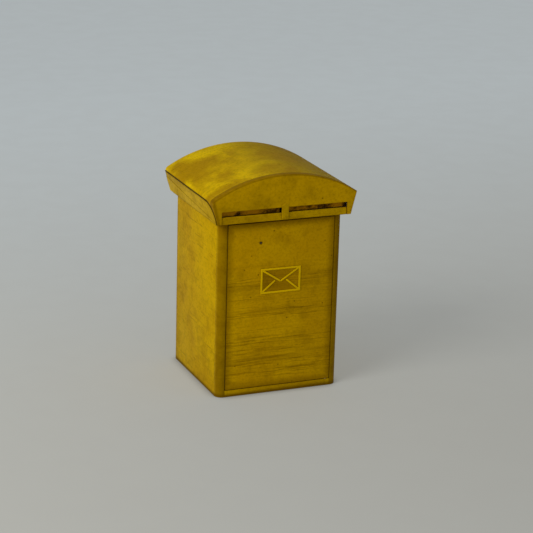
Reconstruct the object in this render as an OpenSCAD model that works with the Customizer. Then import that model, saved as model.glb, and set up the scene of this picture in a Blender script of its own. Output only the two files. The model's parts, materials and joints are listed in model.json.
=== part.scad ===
// Free-standing post box: a sheet steel cabinet with a front door, two mail bins inside,
// and a vaulted hood with two posting slots.
// Origin at the middle of the footprint on the ground, +X to the right, +Y to the back, +Z up.

/* [Cabinet] */
// Width of the cabinet, corner face to corner face
body_w = 700; // [600:10:860]
// Depth of the cabinet
body_d = 680; // [560:10:820]
// Height of the cabinet from the ground to the underside of the hood
body_h = 975; // [800:5:1200]
// Outer radius of the four upright corners
corner_r = 40; // [34:1:46]
// Thickness of the cabinet sheet
sheet = 3; // [2:0.5:3.5]
// Thickness of the base plate
base_t = 8; // [6:1:12]

/* [Ground anchors] */
// Distance between anchor holes from left to right
anchor_x = 540; // [460:10:560]
// Distance between anchor holes from front to back
anchor_y = 520; // [420:10:520]
// Diameter of an anchor hole
anchor_hole_d = 14; // [10:1:18]

/* [Hood] */
// How far the underside of the hood stands out beside the cabinet
hood_side = 29; // [20:1:45]
// How far each side of the hood flares out from its underside to the eaves
hood_flare = 32; // [10:1:50]
// Height of the eaves above the underside of the hood
eave_rise = 126; // [110:2:150]
// Height of the ridge above the eaves
vault_rise = 120; // [80:2:160]
// How far the hood stands out in front of the cabinet
hood_front = 42; // [36:1:60]
// How far the hood stands out behind the cabinet
hood_back = 17; // [10:1:40]
// Thickness of the roof and eave sheets
hood_sheet = 4; // [3:0.5:5]
// Thickness of the two gable plates
gable_t = 6; // [5:0.5:8]
// Height of the eave lip above the edge of the roof
eave_lip = 5; // [3:0.5:8]
// Thickness of the hood's bottom plate
hood_base_t = 4; // [3:0.5:6]

/* [Posting slots] */
// Distance from the outer end of a slot to the side of the hood's underside
slot_margin = 23; // [20:1:80]
// Height of a slot
slot_h = 30; // [22:1:34]
// Height of the sill under the slots
sill_h = 40; // [28:1:44]
// How far the sill lies behind the face of the gable
sill_recess = 4; // [2:0.5:4.5]
// Depth of the sill from front to back
sill_d = 12; // [10:1:14]
// Width of the divider between the slots
divider_w = 40; // [30:1:60]
// Height of the divider
divider_h = 81; // [70:1:90]
// How far the divider stands out from the gable
divider_proud = 2; // [1:0.5:3]
// Thickness of a flap
flap_t = 1.5; // [1:0.25:2.5]
// Diameter of a flap's rod
flap_rod_d = 6; // [5:0.5:6]

/* [Door] */
// Width of the flat strip between the round corner and the door opening
stile_flat = 4; // [4:1:20]
// Height of the threshold's top above the ground
threshold_h = 38; // [30:1:50]
// Thickness of the door skin
skin_t = 4; // [3:0.5:5]
// How far the door stands out from the cabinet
door_proud = 2; // [0:0.5:3]
// Depth of the door, skin included
door_depth = 30; // [30:1:36]
// Distance of the hinge axis from the door's edge
pivot_inset = 20; // [18:0.5:22]
// Distance of the hinge axis behind the door's face
pivot_depth = 10; // [9:0.5:10]
// Diameter of the pivot pins
pivot_d = 10; // [8:0.5:10]
// Width of the envelope relief
emblem_w = 230; // [160:5:300]
// Height of the envelope relief
emblem_h = 140; // [100:5:190]
// Height of the relief's middle above the ground
emblem_z = 634; // [500:2:700]

/* [Lock] */
// Distance of the lock to the left of the door's middle
lock_x = 118; // [80:1:150]
// Height of the lock above the ground
lock_z = 849; // [700:1:850]
// Diameter of the lock core
core_d = 12; // [10:0.5:14]
// Gear module of the lock's pinion and racks
gear_m = 1.5; // [1.25:0.05:1.6]
// Number of pinion teeth, an even number that four does not divide
gear_z = 18; // [18:4:22]

/* [Inside] */
// Width of one mail bin over its rim
bin_w = 250; // [180:5:252]
// Depth of a mail bin
bin_d = 520; // [400:5:540]
// Height of a mail bin
bin_h = 680; // [500:5:700]
// Wall of a mail bin
bin_wall = 4; // [3:0.5:6]
// Height of the rails under the bins
rail_h = 30; // [15:1:50]

/* [Hidden] */
$fn = 48;
paint = "#d9a400";
zinc = "#9aa0a4";
steel = "#5d6266";
black = "#202225";
brass = "#b58a3c";
grey = "#6f767b";

// Clearances
eps = 0.5;            // how far a cutter runs past the face it cuts
run = 0.05;           // radial clearance of a pin or rod that turns
slip = 0.5;           // clearance of a flat bar in its guide
seat = 0.2;           // gap of two curved or slanted faces that rest on each other
door_gap = 3;         // gap round the door
pinch = 0.3;          // gap between a closed flap or door and what it closes on

// Cabinet
half_w = body_w / 2;
front_y = -body_d / 2;
back_y = body_d / 2;
flat_x = half_w - corner_r;
flat_y = body_d / 2 - corner_r;
jamb_x = flat_x - stile_flat;
head_t = 12;
head_z = body_h - head_t;
threshold_plate_t = 8;
ring_t = 6;
ring_w = 40;
ring_x = half_w - sheet - ring_w;
ring_y = back_y - sheet - ring_w;

// Door
door_half_w = jamb_x - door_gap;
door_z0 = threshold_h + door_gap;
door_z1 = head_z - door_gap;
door_y0 = front_y - door_proud;
skin_back_y = door_y0 + skin_t;
door_back_y = door_y0 + door_depth;
tray_t = 3;
pivot_x = door_half_w - pivot_inset;
pivot_y = door_y0 + pivot_depth;
pivot_r = pivot_d / 2;
block_w = 26;
block_h = 32;
emblem_t = 4;
emblem_edge = 12;
door_edge_r = 6;

// Door stop and its seal
stop_t = 3;
stop_w = 20;
seal_w = 14;
seal_t = 6.7;
stop_y = door_back_y + pinch + seal_t;
jamb_back_y = stop_y + stop_t + 2;
stop_end_x = pivot_x - door_depth - 2 * stop_w;

// Lock and its racks
gear_r = gear_m * gear_z / 2;
gear_angle = 20;
addendum = gear_m;
dedendum = 1.25 * gear_m;
backlash = 0.3;
rack_pitch = PI * gear_m;
rack_back = gear_r + dedendum + 8.625;
bar_t = 6;
rod_front_y = skin_back_y + 7;
bolt_front_y = rod_front_y + bar_t + 2;
pinion_y0 = rod_front_y - 1;
pinion_y1 = bolt_front_y + bar_t + 1;
spindle_r = 4;
travel = gear_r * PI / 2;
mesh_len = 12;
core_r = core_d / 2;
housing_r = core_r + 3;
housing_proud = 1;
lock_plate_t = 3;
lock_plate_w = 76;
pillar_r = 4;
pillar_at = 32;
guide_w = 12;
guide_h = 10;

// Hood
hood_y0 = front_y - hood_front;
hood_y1 = back_y + hood_back;
eave_z = body_h + eave_rise;
ridge_z = eave_z + vault_rise;
foot_half = half_w + hood_side;
eave_half = foot_half + hood_flare;
vault_r = (eave_half * eave_half + vault_rise * vault_rise) / (2 * vault_rise);
vault_z = ridge_z - vault_r;
flare = (eave_half - foot_half) / eave_rise;
lip_half = eave_half + flare * eave_lip;
inner_y0 = hood_y0 + gable_t;
inner_y1 = hood_y1 - gable_t;
hood_open_x = ring_x;
hood_open_y0 = jamb_back_y + 10;
hood_open_y1 = ring_y;
bolt_r = 4;
bolt_head_r = 7;
bolt_head_h = 5;

// Slots
slot_z0 = body_h + sill_h;
slot_z1 = slot_z0 + slot_h;
slots_half = foot_half - slot_margin;
sill_y0 = hood_y0 + sill_recess;
sill_y1 = sill_y0 + sill_d;
divider_z0 = body_h + 6;
flap_rod_r = flap_rod_d / 2;
flap_z = slot_z1 + 5;
flap_y = sill_y1 + pinch + flap_rod_r;
flap_margin = 3;
flap_len = flap_z - slot_z0 - 1;
ear_t = 4;

// Inside
chute_t = 2;
chute_in = divider_w / 2 + 2;
chute_out = slots_half + chute_t + 1;
chute_low_x = hood_open_x - 6;
chute_bend_y = flap_y + flap_len + 2;
chute_drop = 110;
chute_run = 50;
chute_knee_y = hood_open_y0 + 8;
chute_knee_z = body_h + hood_base_t + 7;
partition_t = 3;
bin_gap = 4;
bin_rim = 3;
bin_rim_h = 20;
bin_y0 = jamb_back_y + 30;
bin_z0 = base_t + rail_h;
rail_w = 20;
handle_w = 110;
handle_h = 28;

// Turns an outline in (X, Z) into a slab between two Y values
module slab_y(y0, y1) {
    translate([0, y1, 0]) rotate([90, 0, 0]) linear_extrude(y1 - y0) children();
}

// Turns an outline in (Y, Z) into a slab between two X values
module slab_x(x0, x1) {
    translate([x0, 0, 0]) rotate([90, 0, 90]) linear_extrude(x1 - x0) children();
}

// Box between two opposite corners
module block(low, high) {
    translate(low) cube(high - low);
}

// Rectangle between two opposite corners
module rect(low, high) {
    translate(low) square(high - low);
}

// Rectangle about the origin with true round corners
module round_rect(w, d, r) {
    square([w - 2 * r, d], center = true);
    square([w, d - 2 * r], center = true);
    for (x = [-1, 1]) {
        for (y = [-1, 1]) {
            translate([x * (w / 2 - r), y * (d / 2 - r)]) circle(r);
        }
    }
}

// Left and right twins: side is -1 or 1
module on_side(side) {
    mirror([side < 0 ? 1 : 0, 0, 0]) children();
}

// Hole along Z through everything between two heights
module bore_z(x, y, z0, z1, r) {
    translate([x, y, z0]) cylinder(h = z1 - z0, r = r);
}

// ---- Cabinet ----

module base_plate() {
    color(zinc) difference() {
        linear_extrude(base_t) round_rect(body_w, body_d, corner_r);
        for (x = [-1, 1]) {
            for (y = [-1, 1]) {
                bore_z(x * anchor_x / 2, y * anchor_y / 2, -eps, base_t + eps, anchor_hole_d / 2);
            }
        }
    }
}

module bin_rails() {
    color(zinc) for (side = [-1, 1]) {
        for (x = [bin_gap + bin_rim + 2 * rail_w, bin_w - rail_w]) {
            translate([side * x - rail_w / 2, bin_y0, base_t]) cube([rail_w, bin_d, rail_h]);
        }
    }
}

// Quarter of a ring that turns the corner of the cabinet
module corner_ring() {
    translate([flat_x, flat_y]) intersection() {
        difference() {
            circle(corner_r);
            circle(corner_r - sheet);
        }
        square(corner_r);
    }
}

module rear_post(side) {
    color(paint) on_side(side) translate([0, 0, base_t])
        linear_extrude(body_h - base_t) corner_ring();
}

module front_post(side) {
    bolt_z = lock_z - rack_back;
    color(paint) difference() {
        on_side(side) translate([0, 0, base_t]) linear_extrude(body_h - base_t) {
            mirror([0, 1]) corner_ring();
            rect([jamb_x, front_y], [flat_x, front_y + sheet]);
            rect([jamb_x, front_y], [jamb_x + sheet, jamb_back_y]);
        }
        if (side < 0) {
            block([-half_w / 2 - flat_x, bolt_front_y - slip, bolt_z - slip],
                  [-jamb_x + eps, bolt_front_y + bar_t + slip, lock_z - gear_r - dedendum + slip]);
        }
    }
}

module side_panel(side) {
    color(paint) on_side(side) block([half_w - sheet, -flat_y, base_t], [half_w, flat_y, body_h]);
}

module back_panel() {
    color(paint) block([-flat_x, back_y - sheet, base_t], [flat_x, back_y, body_h]);
}

module door_head() {
    color(paint) difference() {
        block([-jamb_x, front_y, head_z], [jamb_x, jamb_back_y, body_h]);
        bore_z(pivot_x, pivot_y, head_z - eps, body_h + eps, pivot_r + run);
        upper_rod_hole(head_z - eps, body_h + eps);
    }
}

module door_threshold() {
    color(paint) difference() {
        union() {
            block([-jamb_x, front_y, threshold_h - threshold_plate_t],
                  [jamb_x, jamb_back_y, threshold_h]);
            block([-jamb_x, front_y, base_t], [jamb_x, front_y + sheet, threshold_h]);
        }
        bore_z(pivot_x, pivot_y, threshold_h - threshold_plate_t - eps, threshold_h + eps,
               pivot_r + run);
        lower_rod_hole(threshold_h - threshold_plate_t - eps, threshold_h + eps);
    }
}

// Three-sided frame inside the top of the cabinet, on which the hood is bolted
module top_ring() {
    inset = sheet + seat;
    color(zinc) difference() {
        translate([0, 0, body_h - ring_t]) linear_extrude(ring_t) difference() {
            intersection() {
                round_rect(body_w - 2 * inset, body_d - 2 * inset, corner_r - inset);
                rect([-half_w, jamb_back_y], [half_w, back_y]);
            }
            rect([-ring_x, jamb_back_y - eps], [ring_x, ring_y]);
        }
        hood_bolt_places() bore_z(0, 0, body_h - ring_t - eps, body_h + eps, bolt_r + run);
    }
}

// Flange behind the door on three sides; the hinge side is left free for the door to turn
module door_stop() {
    z0 = threshold_h;
    z1 = head_z;
    color(paint) slab_y(stop_y, stop_y + stop_t) {
        rect([-jamb_x, z0], [-jamb_x + stop_w, z1]);
        rect([-jamb_x, z0], [stop_end_x, z0 + stop_w]);
        rect([-jamb_x, z1 - stop_w], [stop_end_x, z1]);
    }
}

module door_seal() {
    z0 = threshold_h + stop_w;
    z1 = head_z - stop_w;
    x0 = -jamb_x + stop_w;
    color(black) slab_y(door_back_y + pinch, stop_y) {
        rect([x0 - seal_w, z0 - seal_w], [x0, z1 + seal_w]);
        rect([x0 - seal_w, z0 - seal_w], [stop_end_x, z0]);
        rect([x0 - seal_w, z1], [stop_end_x, z1 + seal_w]);
    }
}

// ---- Hood ----

// Places of the bolts that hold the hood on the cabinet
module hood_bolt_places() {
    for (side = [-1, 1]) {
        for (y = [-flat_y + ring_w, 0, flat_y - ring_w]) {
            translate([side * (half_w - sheet - ring_w / 2), y, 0]) children();
        }
    }
}

module hood_base() {
    color(paint) difference() {
        block([-foot_half + hood_sheet + seat, inner_y0, body_h],
              [foot_half - hood_sheet - seat, inner_y1, body_h + hood_base_t]);
        block([-hood_open_x, hood_open_y0, body_h - eps],
              [hood_open_x, hood_open_y1, body_h + hood_base_t + eps]);
        block([-slots_half - seat, inner_y0 - eps, body_h - eps],
              [slots_half + seat, sill_y1, body_h + hood_base_t + eps]);
        hood_bolt_places() bore_z(0, 0, body_h - eps, body_h + hood_base_t + eps, bolt_r + run);
        bore_z(pivot_x, pivot_y, body_h - eps, body_h + hood_base_t + eps, pivot_r + run);
        upper_rod_hole(body_h - eps, body_h + hood_base_t + eps);
    }
}

module hood_bolts() {
    top = body_h + hood_base_t;
    under = body_h - ring_t;
    color(steel) hood_bolt_places() {
        translate([0, 0, top]) cylinder(h = bolt_head_h, r = bolt_head_r, $fn = 6);
        translate([0, 0, under - bolt_head_h]) cylinder(h = top - under + bolt_head_h, r = bolt_r);
        translate([0, 0, under - bolt_head_h]) cylinder(h = bolt_head_h, r = bolt_head_r, $fn = 6);
    }
}

// Cross-section of one flared side, lip included, cut off at a height
module eave_outline(thick, top) {
    reach = top - body_h;
    polygon([[foot_half, body_h], [foot_half + flare * reach, top],
             [foot_half + flare * reach - thick, top], [foot_half - thick, body_h]]);
}

// Everything inside the flared sides and under a vault of the given radius
module gable_outline(r) {
    intersection() {
        polygon([[-foot_half + hood_sheet + seat, body_h], [foot_half - hood_sheet - seat, body_h],
                 [lip_half + flare * vault_rise - hood_sheet - seat, ridge_z + eave_lip],
                 [-lip_half - flare * vault_rise + hood_sheet + seat, ridge_z + eave_lip]]);
        translate([0, vault_z]) circle(r, $fn = 180);
    }
}

module front_gable() {
    color(paint) difference() {
        slab_y(hood_y0, inner_y0) gable_outline(vault_r - hood_sheet - seat);
        block([-slots_half, hood_y0 - eps, body_h - eps], [slots_half, inner_y0 + eps, slot_z1]);
    }
}

module rear_gable() {
    color(paint) slab_y(inner_y1, hood_y1) gable_outline(vault_r - hood_sheet - seat);
}

module eave_panel(side) {
    color(paint) on_side(side) slab_y(hood_y0, hood_y1)
        eave_outline(hood_sheet, eave_z + eave_lip);
}

module roof_sheet() {
    color(paint) slab_y(hood_y0, hood_y1) difference() {
        gable_outline(vault_r);
        translate([0, vault_z]) circle(vault_r - hood_sheet, $fn = 180);
        rect([-eave_half, body_h - eps], [eave_half, eave_z - 4 * hood_sheet]);
    }
}

module slot_sill() {
    color(paint) block([-slots_half, sill_y0, body_h], [slots_half, sill_y1, slot_z0]);
}

module slot_divider() {
    color(paint) difference() {
        block([-divider_w / 2, hood_y0 - divider_proud, divider_z0],
              [divider_w / 2, inner_y0, divider_z0 + divider_h]);
        block([-divider_w, hood_y0, slot_z1], [divider_w, inner_y0 + eps, ridge_z]);
        block([-divider_w, sill_y0, body_h], [divider_w, inner_y0 + eps, slot_z0]);
    }
}

// Ears behind the gable that carry the ends of the flap rods
module flap_brackets() {
    ear_y1 = flap_y + flap_rod_r + 3;
    color(zinc) for (x = [-slots_half - ear_t, slots_half, -chute_in + flap_margin]) {
        wide = x == -chute_in + flap_margin ? 2 * (chute_in - flap_margin) : ear_t;
        difference() {
            block([x, inner_y0, slot_z1], [x + wide, ear_y1, flap_z + flap_rod_r + 4]);
            slab_x(x - eps, x + wide + eps) translate([flap_y, flap_z]) circle(flap_rod_r + run);
        }
    }
}

module flap_rod(side) {
    color(steel) on_side(side) slab_x(1, slots_half + ear_t)
        translate([flap_y, flap_z]) circle(flap_rod_r);
}

// Flap that hangs from a rolled eye on its rod and closes the slot from behind
module slot_flap(side) {
    eye_r = flap_rod_r + run + flap_t;
    x0 = chute_in + flap_margin;
    color(black) on_side(side) slab_x(x0, slots_half - flap_margin) difference() {
        union() {
            translate([flap_y, flap_z]) circle(eye_r);
            rect([flap_y + eye_r - flap_t, flap_z - flap_len], [flap_y + eye_r, flap_z]);
        }
        translate([flap_y, flap_z]) circle(flap_rod_r + run);
    }
}

// ---- Inside ----

// Floor line of a chute, from the sill over the door head and down into the bin
function chute_line(raise) = [
    [sill_y1 + seat, slot_z0 - 1 + raise],
    [chute_knee_y, chute_knee_z + raise],
    [chute_knee_y + chute_run, chute_knee_z - chute_drop + raise]
];

function reversed(list) = [for (i = [len(list) - 1:-1:0]) list[i]];

module chute(side) {
    low = chute_line(-chute_t);
    high = chute_line(0);
    fence = chute_line(slot_h);
    plan = [[chute_in, sill_y1], [chute_out, sill_y1], [chute_out, chute_bend_y],
            [chute_low_x, chute_knee_y], [chute_low_x, chute_knee_y + chute_run + eps],
            [chute_in, chute_knee_y + chute_run + eps]];
    rim = [[chute_out, sill_y1], [chute_out, chute_bend_y],
           [chute_low_x, chute_knee_y], [chute_low_x, chute_knee_y + chute_run + eps],
           [chute_low_x - chute_t, chute_knee_y + chute_run + eps],
           [chute_low_x - chute_t, chute_knee_y], [chute_out - chute_t, chute_bend_y],
           [chute_out - chute_t, sill_y1]];
    color(zinc) on_side(side) {
        intersection() {
            translate([0, 0, body_h - 2 * chute_drop]) linear_extrude(4 * chute_drop) polygon(plan);
            slab_x(0, half_w + chute_out) polygon(concat(low, reversed(high)));
        }
        intersection() {
            translate([0, 0, body_h - 2 * chute_drop]) linear_extrude(4 * chute_drop) polygon(rim);
            slab_x(0, half_w + chute_out) polygon(concat(low, reversed(fence)));
        }
    }
}

module partition() {
    color(zinc) block([-partition_t / 2, bin_y0, base_t],
                      [partition_t / 2, back_y - sheet, body_h - ring_t - chute_drop]);
}

// Open-topped bin with a rim and a hand hole in its front wall
module mail_bin(side) {
    x0 = partition_t / 2 + bin_gap + bin_rim;
    x1 = x0 + bin_w - 2 * bin_rim;
    y1 = bin_y0 + bin_d;
    z1 = bin_z0 + bin_h;
    mid = (x0 + x1) / 2;
    color(grey) on_side(side) difference() {
        union() {
            block([x0, bin_y0, bin_z0], [x1, y1, z1]);
            block([x0 - bin_rim, bin_y0 - bin_rim, z1 - bin_rim_h],
                  [x1 + bin_rim, y1 + bin_rim, z1]);
        }
        block([x0 + bin_wall, bin_y0 + bin_wall, bin_z0 + bin_wall],
              [x1 - bin_wall, y1 - bin_wall, z1 + eps]);
        slab_y(bin_y0 - bin_rim - eps, bin_y0 + bin_wall + eps)
            translate([mid, z1 - bin_rim_h - 2 * handle_h])
                round_rect(handle_w, handle_h, handle_h / 2 - 1);
    }
}

// ---- Door ----

module door_skin() {
    mid_z = (door_z0 + door_z1) / 2;
    color(paint) slab_y(door_y0, skin_back_y) difference() {
        translate([0, mid_z]) round_rect(2 * door_half_w, door_z1 - door_z0, door_edge_r);
        translate([-lock_x, lock_z]) circle(housing_r + run);
    }
}

// Folded frame behind the skin, open to the back
module door_tray() {
    outer = door_half_w - 1;
    z0 = door_z0 + 1;
    z1 = door_z1 - 1;
    color(zinc) difference() {
        block([-outer, skin_back_y, z0], [outer, door_back_y, z1]);
        block([-outer + tray_t, skin_back_y - eps, z0 + tray_t],
              [outer - tray_t, door_back_y + eps, z1 - tray_t]);
        bore_z(pivot_x, pivot_y, door_z0 - eps, door_z1 + eps, pivot_r + run);
        upper_rod_hole(z1 - 2 * tray_t, z1 + eps);
        lower_rod_hole(z0 - eps, z0 + 2 * tray_t);
        block([-outer - eps, bolt_front_y - slip, lock_z - rack_back - slip],
              [-outer + 2 * tray_t, bolt_front_y + bar_t + slip, lock_z - gear_r - dedendum + slip]);
    }
}

module door_ribs() {
    inner = door_half_w - 1 - tray_t;
    rib_h = 30;
    rib_d = 5;
    rib_n = 4;
    foot_space = 130;
    lock_space = 140;
    first = door_z0 + foot_space;
    space = (lock_z - lock_space - first) / (rib_n - 1);
    color(zinc) for (i = [0:rib_n - 1]) {
        translate([-inner, skin_back_y, first + i * space]) cube([2 * inner, rib_d, rib_h]);
    }
}

// Envelope in low relief: a rim, two flap folds and two seams that run up from the corners
module door_emblem() {
    w = emblem_w / 2;
    h = emblem_h / 2;
    e = emblem_edge;
    fold_w = 1.3 * e;
    seam_w = 1.1 * e;
    seam_end = [w / 3, 0];
    seam_foot = [w / 4, -h / 10];
    color(paint) slab_y(door_y0 - emblem_t, door_y0) translate([0, emblem_z]) {
        difference() {
            square([emblem_w, emblem_h], center = true);
            square([emblem_w - 2 * e, emblem_h - 2 * e], center = true);
        }
        for (side = [-1, 1]) {
            mirror([side < 0 ? 1 : 0, 0]) {
                polygon([[w - e, h - e], [w - e, h - e - fold_w], [0, -e], [0, fold_w - e]]);
                polygon([[w - e, e - h], [w - e, e - h + seam_w], seam_end, seam_foot]);
            }
        }
    }
}

module pivot_blocks() {
    color(steel) for (z = [door_z0 + 1 + tray_t, door_z1 - 1 - tray_t - block_h]) {
        difference() {
            block([pivot_x - block_w / 2, skin_back_y, z],
                  [pivot_x + block_w / 2, pivot_y + pivot_r + 5, z + block_h]);
            bore_z(pivot_x, pivot_y, z - eps, z + block_h + eps, pivot_r + run);
        }
    }
}

module pivot_pins() {
    low = threshold_h - threshold_plate_t + 1;
    high = body_h - 2;
    color(steel) {
        bore_z(pivot_x, pivot_y, low, door_z0 + 1 + tray_t + block_h, pivot_r);
        bore_z(pivot_x, pivot_y, door_z1 - 1 - tray_t - block_h, high, pivot_r);
    }
}

// Washer on the threshold that carries the door
module pivot_washer() {
    color(brass) translate([pivot_x, pivot_y, threshold_h]) difference() {
        cylinder(h = door_gap - 0.1, r = pivot_r + 4);
        translate([0, 0, -eps]) cylinder(h = door_gap + 2 * eps, r = pivot_r + run);
    }
}

// ---- Lock ----

// Ring in the door skin that holds the lock core
module lock_housing() {
    color(paint) slab_y(door_y0 - housing_proud, skin_back_y + 2)
        translate([-lock_x, lock_z]) difference() {
            circle(housing_r);
            circle(core_r + run);
        }
}

module lock_back_plate() {
    y1 = door_back_y;
    color(zinc) slab_y(y1 - lock_plate_t, y1) translate([-lock_x, lock_z]) difference() {
        square(lock_plate_w, center = true);
        circle(spindle_r + run);
    }
}

module lock_pillars() {
    color(zinc) slab_y(skin_back_y, door_back_y - lock_plate_t) translate([-lock_x, lock_z])
        for (x = [-1, 1]) {
            for (z = [-1, 1]) {
                translate([x * pillar_at, z * pillar_at]) circle(pillar_r);
            }
        }
}

// Core with a key slot, and the spindle behind it
module lock_core() {
    y0 = door_y0 - housing_proud;
    key_w = 2.4;
    key_half = 0.6 * core_r;
    key_deep = 6;
    color(steel) translate([-lock_x, 0, lock_z]) difference() {
        union() {
            slab_y(y0, skin_back_y + 2) circle(core_r);
            slab_y(skin_back_y + 2, door_back_y) circle(spindle_r);
        }
        block([-key_w / 2, y0 - eps, -key_half], [key_w / 2, y0 + key_deep, key_half]);
    }
}

// Involute flank: angle of the flank at a radius, from the middle of a tooth
function involute(a) = tan(a) * 180 / PI - a;
base_r = gear_r * cos(gear_angle);
half_tooth = (rack_pitch / 2 - backlash) / 2 / gear_r * 180 / PI;
function flank(r) = half_tooth + involute(gear_angle) - involute(acos(min(1, base_r / r)));
flank_steps = 6;
flank_radii = [for (i = [0:flank_steps]) base_r + (gear_r + addendum - base_r) * i / flank_steps];

module pinion_outline() {
    root_r = gear_r - dedendum;
    points = [for (k = [0:gear_z - 1]) each concat(
        [[root_r, -flank(base_r) + k * 360 / gear_z]],
        [for (r = flank_radii) [r, -flank(r) + k * 360 / gear_z]],
        [for (r = reversed(flank_radii)) [r, flank(r) + k * 360 / gear_z]],
        [[root_r, flank(base_r) + k * 360 / gear_z]]
    )];
    polygon([for (p = points) [p[0] * cos(p[1]), p[0] * sin(p[1])]]);
}

module lock_pinion() {
    color(brass) slab_y(pinion_y0, pinion_y1) translate([-lock_x, lock_z]) difference() {
        pinion_outline();
        circle(spindle_r + run);
    }
}

// Bar along +Y of the outline's plane with a rack towards -X, at its pitch distance from the
// origin. The bar runs from low to high and its teeth from first to last.
// shift 0 puts a tooth space beside the pinion's middle, 0.5 a tooth.
module rack_bar(low, high, first, last, shift) {
    half_t = (rack_pitch / 2 - backlash) / 2;
    tip = half_t - addendum * tan(gear_angle);
    foot = half_t + dedendum * tan(gear_angle);
    x_tip = gear_r - addendum;
    x_foot = gear_r + dedendum;
    from = ceil((first + foot) / rack_pitch - 0.5 - shift);
    to = floor((last - foot) / rack_pitch - 0.5 - shift);
    middles = [for (k = [to:-1:from]) (k + 0.5 + shift) * rack_pitch];
    teeth = [for (y = middles) each [[x_foot, y + foot], [x_tip, y + tip],
                                     [x_tip, y - tip], [x_foot, y - foot]]];
    polygon(concat([[x_foot, low], [rack_back, low], [rack_back, high], [x_foot, high]], teeth));
}

// Slots that the ends of the two upright rods run in
module upper_rod_hole(z0, z1) {
    block([-lock_x - rack_back - slip, rod_front_y - slip, z0],
          [-lock_x - gear_r - dedendum + slip, rod_front_y + bar_t + slip, z1]);
}

module lower_rod_hole(z0, z1) {
    block([-lock_x + gear_r + dedendum - slip, rod_front_y - slip, z0],
          [-lock_x + rack_back + slip, rod_front_y + bar_t + slip, z1]);
}

module latch_rod_upper() {
    color(zinc) slab_y(rod_front_y, rod_front_y + bar_t)
        translate([-lock_x, lock_z]) mirror([1, 0])
            rack_bar(-travel - mesh_len, door_z1 - 2 - lock_z, -travel - mesh_len, mesh_len, 0);
}

module latch_rod_lower() {
    color(zinc) slab_y(rod_front_y, rod_front_y + bar_t) translate([-lock_x, lock_z])
        rack_bar(door_z0 + 2 - lock_z, travel + mesh_len, -mesh_len, travel + mesh_len, 0);
}

module side_bolt() {
    color(zinc) slab_y(bolt_front_y, bolt_front_y + bar_t)
        translate([-lock_x, lock_z]) rotate(-90)
            rack_bar(lock_x - door_half_w + 2, travel + mesh_len, -mesh_len,
                     travel + mesh_len, 0.5);
}

// Bridge on the door that a flat bar slides through: size of the bar across and its front face
module guide(bar_front) {
    mid = (gear_r + dedendum + rack_back) / 2;
    half = rack_back - mid + slip;
    difference() {
        block([mid - half - 4, skin_back_y, -guide_h / 2],
              [mid + half + 4, bar_front + bar_t + slip + 2, guide_h / 2]);
        block([mid - half, bar_front - slip, -guide_h],
              [mid + half, bar_front + bar_t + slip, guide_h]);
    }
}

module rod_guides() {
    upper_z = (lock_z + door_z1) / 2 + 10;
    lower = [door_z0 + 60, (door_z0 + lock_z) / 2, lock_z - 90];
    color(zinc) {
        translate([-lock_x, 0, upper_z]) mirror([1, 0, 0]) guide(rod_front_y);
        for (z = lower) {
            translate([-lock_x, 0, z]) guide(rod_front_y);
        }
        translate([-door_half_w + 40, 0, lock_z]) rotate([0, 90, 0]) guide(bolt_front_y);
    }
}

base_plate();
bin_rails();
front_post(-1);  // corner_post_front_left
front_post(1);  // corner_post_front_right
rear_post(-1);  // corner_post_rear_left
rear_post(1);  // corner_post_rear_right
side_panel(-1);  // side_panel_left
side_panel(1);  // side_panel_right
back_panel();
door_head();
door_threshold();
top_ring();
door_stop();
door_seal();
hood_base();
hood_bolts();
front_gable();
rear_gable();
eave_panel(-1);  // eave_panel_left
eave_panel(1);  // eave_panel_right
roof_sheet();
slot_sill();
slot_divider();
flap_brackets();
slot_flap(-1);  // slot_flap_left
slot_flap(1);  // slot_flap_right
flap_rod(-1);  // flap_rod_left
flap_rod(1);  // flap_rod_right
chute(-1);  // chute_left
chute(1);  // chute_right
partition();
mail_bin(-1);  // mail_bin_left
mail_bin(1);  // mail_bin_right
door_skin();
door_tray();
door_ribs();
door_emblem();
pivot_blocks();
pivot_pins();
pivot_washer();
lock_housing();
lock_back_plate();
lock_pillars();
lock_core();
lock_pinion();
latch_rod_upper();
latch_rod_lower();
side_bolt();
rod_guides();
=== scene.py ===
"""A free-standing yellow post box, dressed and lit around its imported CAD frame."""
import json
import logging
import math
from abc import ABC, abstractmethod
from dataclasses import dataclass, field
from enum import Enum
from typing import Callable, Sequence

import bmesh
import bpy
from mathutils import Matrix, Vector


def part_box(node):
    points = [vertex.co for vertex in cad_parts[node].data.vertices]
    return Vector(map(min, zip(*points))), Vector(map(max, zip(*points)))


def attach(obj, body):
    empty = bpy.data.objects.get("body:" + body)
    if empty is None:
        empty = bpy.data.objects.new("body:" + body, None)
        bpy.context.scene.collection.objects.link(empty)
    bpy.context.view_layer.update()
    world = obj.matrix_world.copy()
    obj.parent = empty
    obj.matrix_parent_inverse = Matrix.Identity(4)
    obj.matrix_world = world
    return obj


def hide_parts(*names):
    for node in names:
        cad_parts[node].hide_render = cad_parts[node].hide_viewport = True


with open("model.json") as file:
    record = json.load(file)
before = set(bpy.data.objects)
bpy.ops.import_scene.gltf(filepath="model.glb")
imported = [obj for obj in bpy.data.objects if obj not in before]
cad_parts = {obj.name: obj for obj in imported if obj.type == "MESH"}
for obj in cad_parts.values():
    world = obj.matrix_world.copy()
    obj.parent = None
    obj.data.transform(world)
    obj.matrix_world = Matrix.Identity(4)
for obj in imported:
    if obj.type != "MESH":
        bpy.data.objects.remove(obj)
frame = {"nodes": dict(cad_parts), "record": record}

log = logging.getLogger("post_box")
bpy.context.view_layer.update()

Point = tuple[float, float, float]
Colour = tuple[float, float, float]
Span = tuple[float, float]
Piece = bpy.types.Object
Socket = bpy.types.NodeSocket
Material = bpy.types.Material
Test = Callable[[Vector, Vector], bool]


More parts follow.
